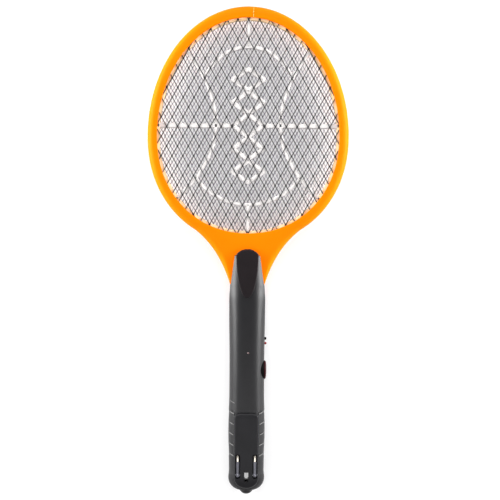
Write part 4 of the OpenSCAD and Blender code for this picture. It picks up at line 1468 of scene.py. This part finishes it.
@dataclass
class Controls:
    """The push button with its spring, the slide switch's knob and the lamps."""

    # The body's rounded front edge: places behind its front, and how much narrower it is there.
    body_steps: tuple[Size, ...] = ((0.5, 0.0), (0.15, 0.12), (0.0, 0.4))
    body_bevel: float = 0.3
    lug: Size = (14.2, 15.8)
    lug_half: float = 4.0
    dome_gap: float = 0.15
    dome_foot: float = 0.35
    dome_power: float = 0.72
    coil_turns: float = 6.5
    coil_radius: float = 3.3
    coil_wire: float = 0.35
    knob_round: float = 0.7
    knob_taper: float = 0.75
    knob_power: float = 0.35
    side_lamp_radius: float = 1.45
    side_lamp_collar: Place = (5.0, 1.2, 0.25)  # its place, its thickness and how much wider it is
    lamp_leg: float = 0.25
    lamp_leg_off: float = 0.7
    upright_lamps: tuple = (("front_lamp", 1.0, 0.0), ("nose_lamp", 0.8, 0.2))
    lamp_depth: float = 8.0

    def build_button(self) -> None:
        """Builds the button's black body with its lug, its red dome and its spring."""
        low, high = box_mm("button_cap")
        _, y, z = middle_mm("button_cap")
        radius = (high[1] - low[1]) / 2
        lug_low, lug_high = box_mm("push_button")
        back, front = lug_low[0], low[0]
        off, narrow = np.array(self.body_steps).T
        body = Solid().skin(lathe(np.concatenate([[back, back + self.body_bevel], front - off]),
                                  np.concatenate([[radius - self.body_bevel, radius], radius - narrow]),
                                  0, (0, y, z), 96))
        body.skin(beam(self.lug, (lug_low[1], lug_high[1]), (z - self.lug_half, z + self.lug_half)))
        # the body's near-black is painted shade of the recess around the button
        dress(body.build("button_body"), "button", "push_button", finish="black_painted_recess_shade", slot="black_abs")
        foot = front + self.dome_foot
        rise, shrink = dome(radius - self.dome_gap, high[0] - foot, 22, power=self.dome_power)
        cap = Solid().skin(lathe(np.concatenate([[front - 0.1], foot + rise]),
                                 np.concatenate([[radius - self.dome_foot], shrink]), 0, (0, y, z), 96))
        dress(cap.build("button_dome"), "button", "button_cap")
        self.build_spring(y, z)

    def build_spring(self, y: float, z: float) -> None:
        """Builds the spring: a round wire along a helix.

        Args:
            y: the helix's middle along Y.
            z: its middle along Z.
        """
        low, high = box_mm("button_spring")
        start, end = low[0] + self.coil_wire, high[0] - self.coil_wire
        turn = np.linspace(0, 2 * np.pi * self.coil_turns, 200)
        path = stack(np.linspace(start, end, len(turn)), y + self.coil_radius * np.cos(turn),
                     z + self.coil_radius * np.sin(turn))
        spring = Solid().skin(sweep(path, circle(self.coil_wire, 10), up=(1, 0, 0))).build("return_spring")
        dress(spring, "swatter", "button_spring")
        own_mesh(spring)

    def build_knob(self) -> None:
        """Builds the knob: a bar with soft corners that is rounded off at its outer end."""
        low, high = box_mm("slide_switch_knob")
        middle, half = (low + high) / 2, (high - low) / 2
        along = np.linspace(low[0], high[0], 40)[:, None]
        out = np.clip((along - high[0]) / self.knob_round + 1, 0, 1)
        shrink = np.sqrt(1 - self.knob_taper * out**2)
        form = circle(1.0, 40)
        form = np.sign(form) * np.abs(form) ** self.knob_power
        y, z = (middle[k + 1] + half[k + 1] * shrink * form[:, k] for k in (0, 1))
        rings = stack(along, y, z)
        # the knob gets the same near-black, painted shade of the recess it sits in
        dress(Solid().skin(rings).build("switch_lever"), "switch", "slide_switch_knob",
              finish="black_painted_recess_shade", slot="black_abs")

    def build_lamps(self) -> None:
        """Builds the lamps: round-topped lenses on a collar."""
        low, high = box_mm("side_lamp")
        _, y, z = middle_mm("side_lamp")
        reach, thick, wider = self.side_lamp_collar
        radius, base = self.side_lamp_radius, low[0] + reach
        rise, shrink = dome(radius, radius, 14)
        along = np.concatenate([[base, base + thick, base + thick], high[0] - radius + rise])
        radii = np.concatenate([[radius + wider, radius + wider, radius], shrink])
        lens = Solid().skin(lathe(along, radii, 0, (0, y, z), 36))
        for off in (-self.lamp_leg_off, self.lamp_leg_off):
            lens.skin(lathe([low[0], base + 1], [self.lamp_leg] * 2, 0, (0, y, z + off), 8))
        dress(lens.build("side_lamp_lens"), "swatter", "side_lamp")
        for node, radius, lift in self.upright_lamps:
            x, y, _ = middle_mm(node)
            rise, shrink = dome(radius, radius, 12)
            low, high = box_mm(node)
            top = high[2] + lift
            foot = max(low[2], top - self.lamp_depth)
            lens = Solid().skin(lathe(np.concatenate([[foot], top - radius + rise]),
                                      np.concatenate([[radius], shrink]), 2, (x, y, 0), 28))
            dress(lens.build(node + "_lens"), "swatter", node, finish="dim_lens", slot=SLOT_OF[node])


@dataclass
class Plug:
    """The folding mains pins with their sleeves."""

    hub_radius: float = 2.5
    hub_turn: Size = (-math.pi / 2 + 0.03, 0.86)
    sleeve_radius: float = 1.9
    sleeve_bevel: float = 0.2
    pin_radius: float = 2.0
    core_radius: float = 1.4
    # The tip's rounded end: places before the end, and radii.
    tip_ends: tuple[Size, ...] = ((-0.75, 2.0), (-0.6, 1.97), (-0.3, 1.8), (-0.05, 1.35), (0.0, 0.2))

    def build(self) -> None:
        """Builds both pins: a turned metal tip and a sleeve that ends in a round hub."""
        for side in ("left", "right"):
            x, _, z = middle_mm(side + "_pin")
            sleeve_low, sleeve_high = box_mm(side + "_pin_sleeve")
            joint = sleeve_low[1] + self.hub_radius
            reach = box_mm(side + "_pin")[1][1] - joint
            bare = sleeve_high[1] - joint
            end, narrow = np.array(self.tip_ends).T
            tip = Solid().skin(lathe(np.concatenate([[bare - 2, bare, bare], end + reach]),
                                     [self.core_radius, self.core_radius, self.pin_radius, *narrow],
                                     1, (x, joint, z), 48))
            dress(tip.build(side + "_pin_tip"), side + "_plug_pin", side + "_pin")
            turn = np.linspace(*self.hub_turn, 22)
            along = np.concatenate([self.hub_radius * np.sin(turn), [bare - 0.35, bare - HAIR]])
            radii = np.concatenate([self.hub_radius * np.cos(turn),
                                    [self.sleeve_radius, self.sleeve_radius - self.sleeve_bevel]])
            sleeve = Solid().skin(lathe(along, radii, 1, (x, joint, z), 48))
            dress(sleeve.build(side + "_pin_jacket"), side + "_plug_pin", side + "_pin_sleeve")


# --- studio -------------------------------------------------------------------------------------


@dataclass
class Studio:
    """A white floor, soft panels at both sides, past the tip and over the foot, a dim sky and the camera."""

    camera_height: float = 1.7
    face_height: float = 0.02
    sensor: float = 36.0
    frame_width: float = 0.543
    centre_x: float = 0.0027
    roll: float = 0.33
    panel_distance: float = 0.75
    panel_height: float = 0.17
    panel_tilt: float = 78.0
    panel_size: Size = (0.32, 0.75)
    panel_y: float = 0.27
    panel_power: float = 13.5
    key_place: Place = (0.0, 1.1, 1.1)
    key_size: Size = (0.8, 0.8)
    key_aim: float = 0.1
    key_power: float = 8.0
    bar_place: Place = (0.0, -0.31, 0.6)
    bar_size: Size = (1.0, 0.16)
    bar_power: float = 1.2
    floor_half: float = 3.0
    floor_drop: float = 0.0004
    floor_glow: float = 0.47
    floor_white: float = 0.54
    # The sky's ends: a share of its height, and a colour.
    sky: tuple = ((0.5, (0.8, 0.79, 0.8, 1)), (0.9, (0.14, 0.14, 0.145, 1)))

    def build_camera(self) -> None:
        """Places the camera straight above the swatter, with a slight roll."""
        data = bpy.data.cameras.new("camera")
        data.sensor_width = self.sensor
        data.lens = self.sensor * (self.camera_height - self.face_height) / self.frame_width
        data.clip_end = 50.0
        camera = bpy.data.objects.new("camera", data)
        camera.location = (self.centre_x, 0.0, self.camera_height)
        camera.rotation_euler = (0.0, 0.0, math.radians(self.roll))
        bpy.context.scene.collection.objects.link(camera)
        bpy.context.scene.camera = camera

    def build_floor(self) -> None:
        """Lays a plain white floor that glows a little, so that shadows stay faint."""
        half = self.floor_half
        mesh = bpy.data.meshes.new("floor")
        mesh.from_pydata([(-half, -half, 0), (half, -half, 0), (half, half, 0), (-half, half, 0)], [],
                         [(0, 1, 2, 3)])
        floor = bpy.data.objects.new("floor", mesh)
        floor.location = (0, 0, -self.floor_drop)
        paint = bpy.data.materials.new("floor_paint")
        paint.use_nodes = True
        shader = paint.node_tree.nodes["Principled BSDF"]
        shader.inputs["Base Color"].default_value = (*[self.floor_white] * 3, 1)
        shader.inputs["Roughness"].default_value = 0.9
        shader.inputs["Emission Color"].default_value = (1, 1, 1, 1)
        shader.inputs["Emission Strength"].default_value = self.floor_glow
        mesh.materials.append(paint)
        bpy.context.scene.collection.objects.link(floor)

    @staticmethod
    def add_panel(place: Place, size: Size, power: float, turn: Place) -> None:
        """Adds one soft light panel that the camera doesn't see.

        Args:
            place: its centre.
            size: its width and length.
            power: its power in watts.
            turn: its rotation; unturned it shines down.
        """
        data = bpy.data.lights.new("panel", "AREA")
        data.shape = "RECTANGLE"
        data.size, data.size_y = size
        data.energy = power
        panel = bpy.data.objects.new("panel", data)
        panel.location = place
        panel.rotation_euler = turn
        panel.visible_camera = False
        bpy.context.scene.collection.objects.link(panel)

    def build_lights(self) -> None:
        """Stands low soft panels at the sides, a key panel past the tip and a bar over the pins."""
        for side in (-1, 1):
            self.add_panel((side * self.panel_distance, self.panel_y, self.panel_height), self.panel_size,
                           self.panel_power, (0.0, side * math.radians(self.panel_tilt), 0.0))
        lean = math.atan2(self.key_place[1] - self.key_aim, self.key_place[2])
        self.add_panel(self.key_place, self.key_size, self.key_power, (-lean, 0.0, 0.0))
        self.add_panel(self.bar_place, self.bar_size, self.bar_power, (0.0, 0.0, 0.0))

    def build_sky(self) -> None:
        """Builds a dim sky whose colour changes with height."""
        world = bpy.data.worlds.new("sky")
        bpy.context.scene.world = world
        world.use_nodes = True
        nodes, links = world.node_tree.nodes, world.node_tree.links
        place = nodes.new("ShaderNodeTexCoord")
        split = nodes.new("ShaderNodeSeparateXYZ")
        ramp = nodes.new("ShaderNodeValToRGB")
        for number, (height, color) in enumerate(self.sky):
            ramp.color_ramp.elements[number].color = color
            ramp.color_ramp.elements[number].position = height
        links.new(place.outputs["Generated"], split.inputs["Vector"])
        links.new(split.outputs["Z"], ramp.inputs["Fac"])
        links.new(ramp.outputs["Color"], nodes["Background"].inputs["Color"])

    def build(self) -> None:
        """Builds the whole studio and sets plain colour output."""
        self.build_camera()
        self.build_floor()
        self.build_lights()
        self.build_sky()
        bpy.context.scene.view_settings.view_transform = "Standard"


def main() -> None:
    """Builds the studio and the swatter."""
    logging.basicConfig(level=logging.INFO, format="%(name)s %(message)s")
    Studio().build()
    head = Head()
    head.build_frames()
    head.build_spacers()
    head.build_meshes()
    handle = Handle()
    handle.build_shells()
    handle.build_cover()
    handle.build_plate()
    Screws().build()
    controls = Controls()
    controls.build_button()
    controls.build_knob()
    controls.build_lamps()
    Plug().build()
    dress_nodes([name for name, node in frame["nodes"].items() if not node.hide_render])


if __name__ == "__main__":
    main()
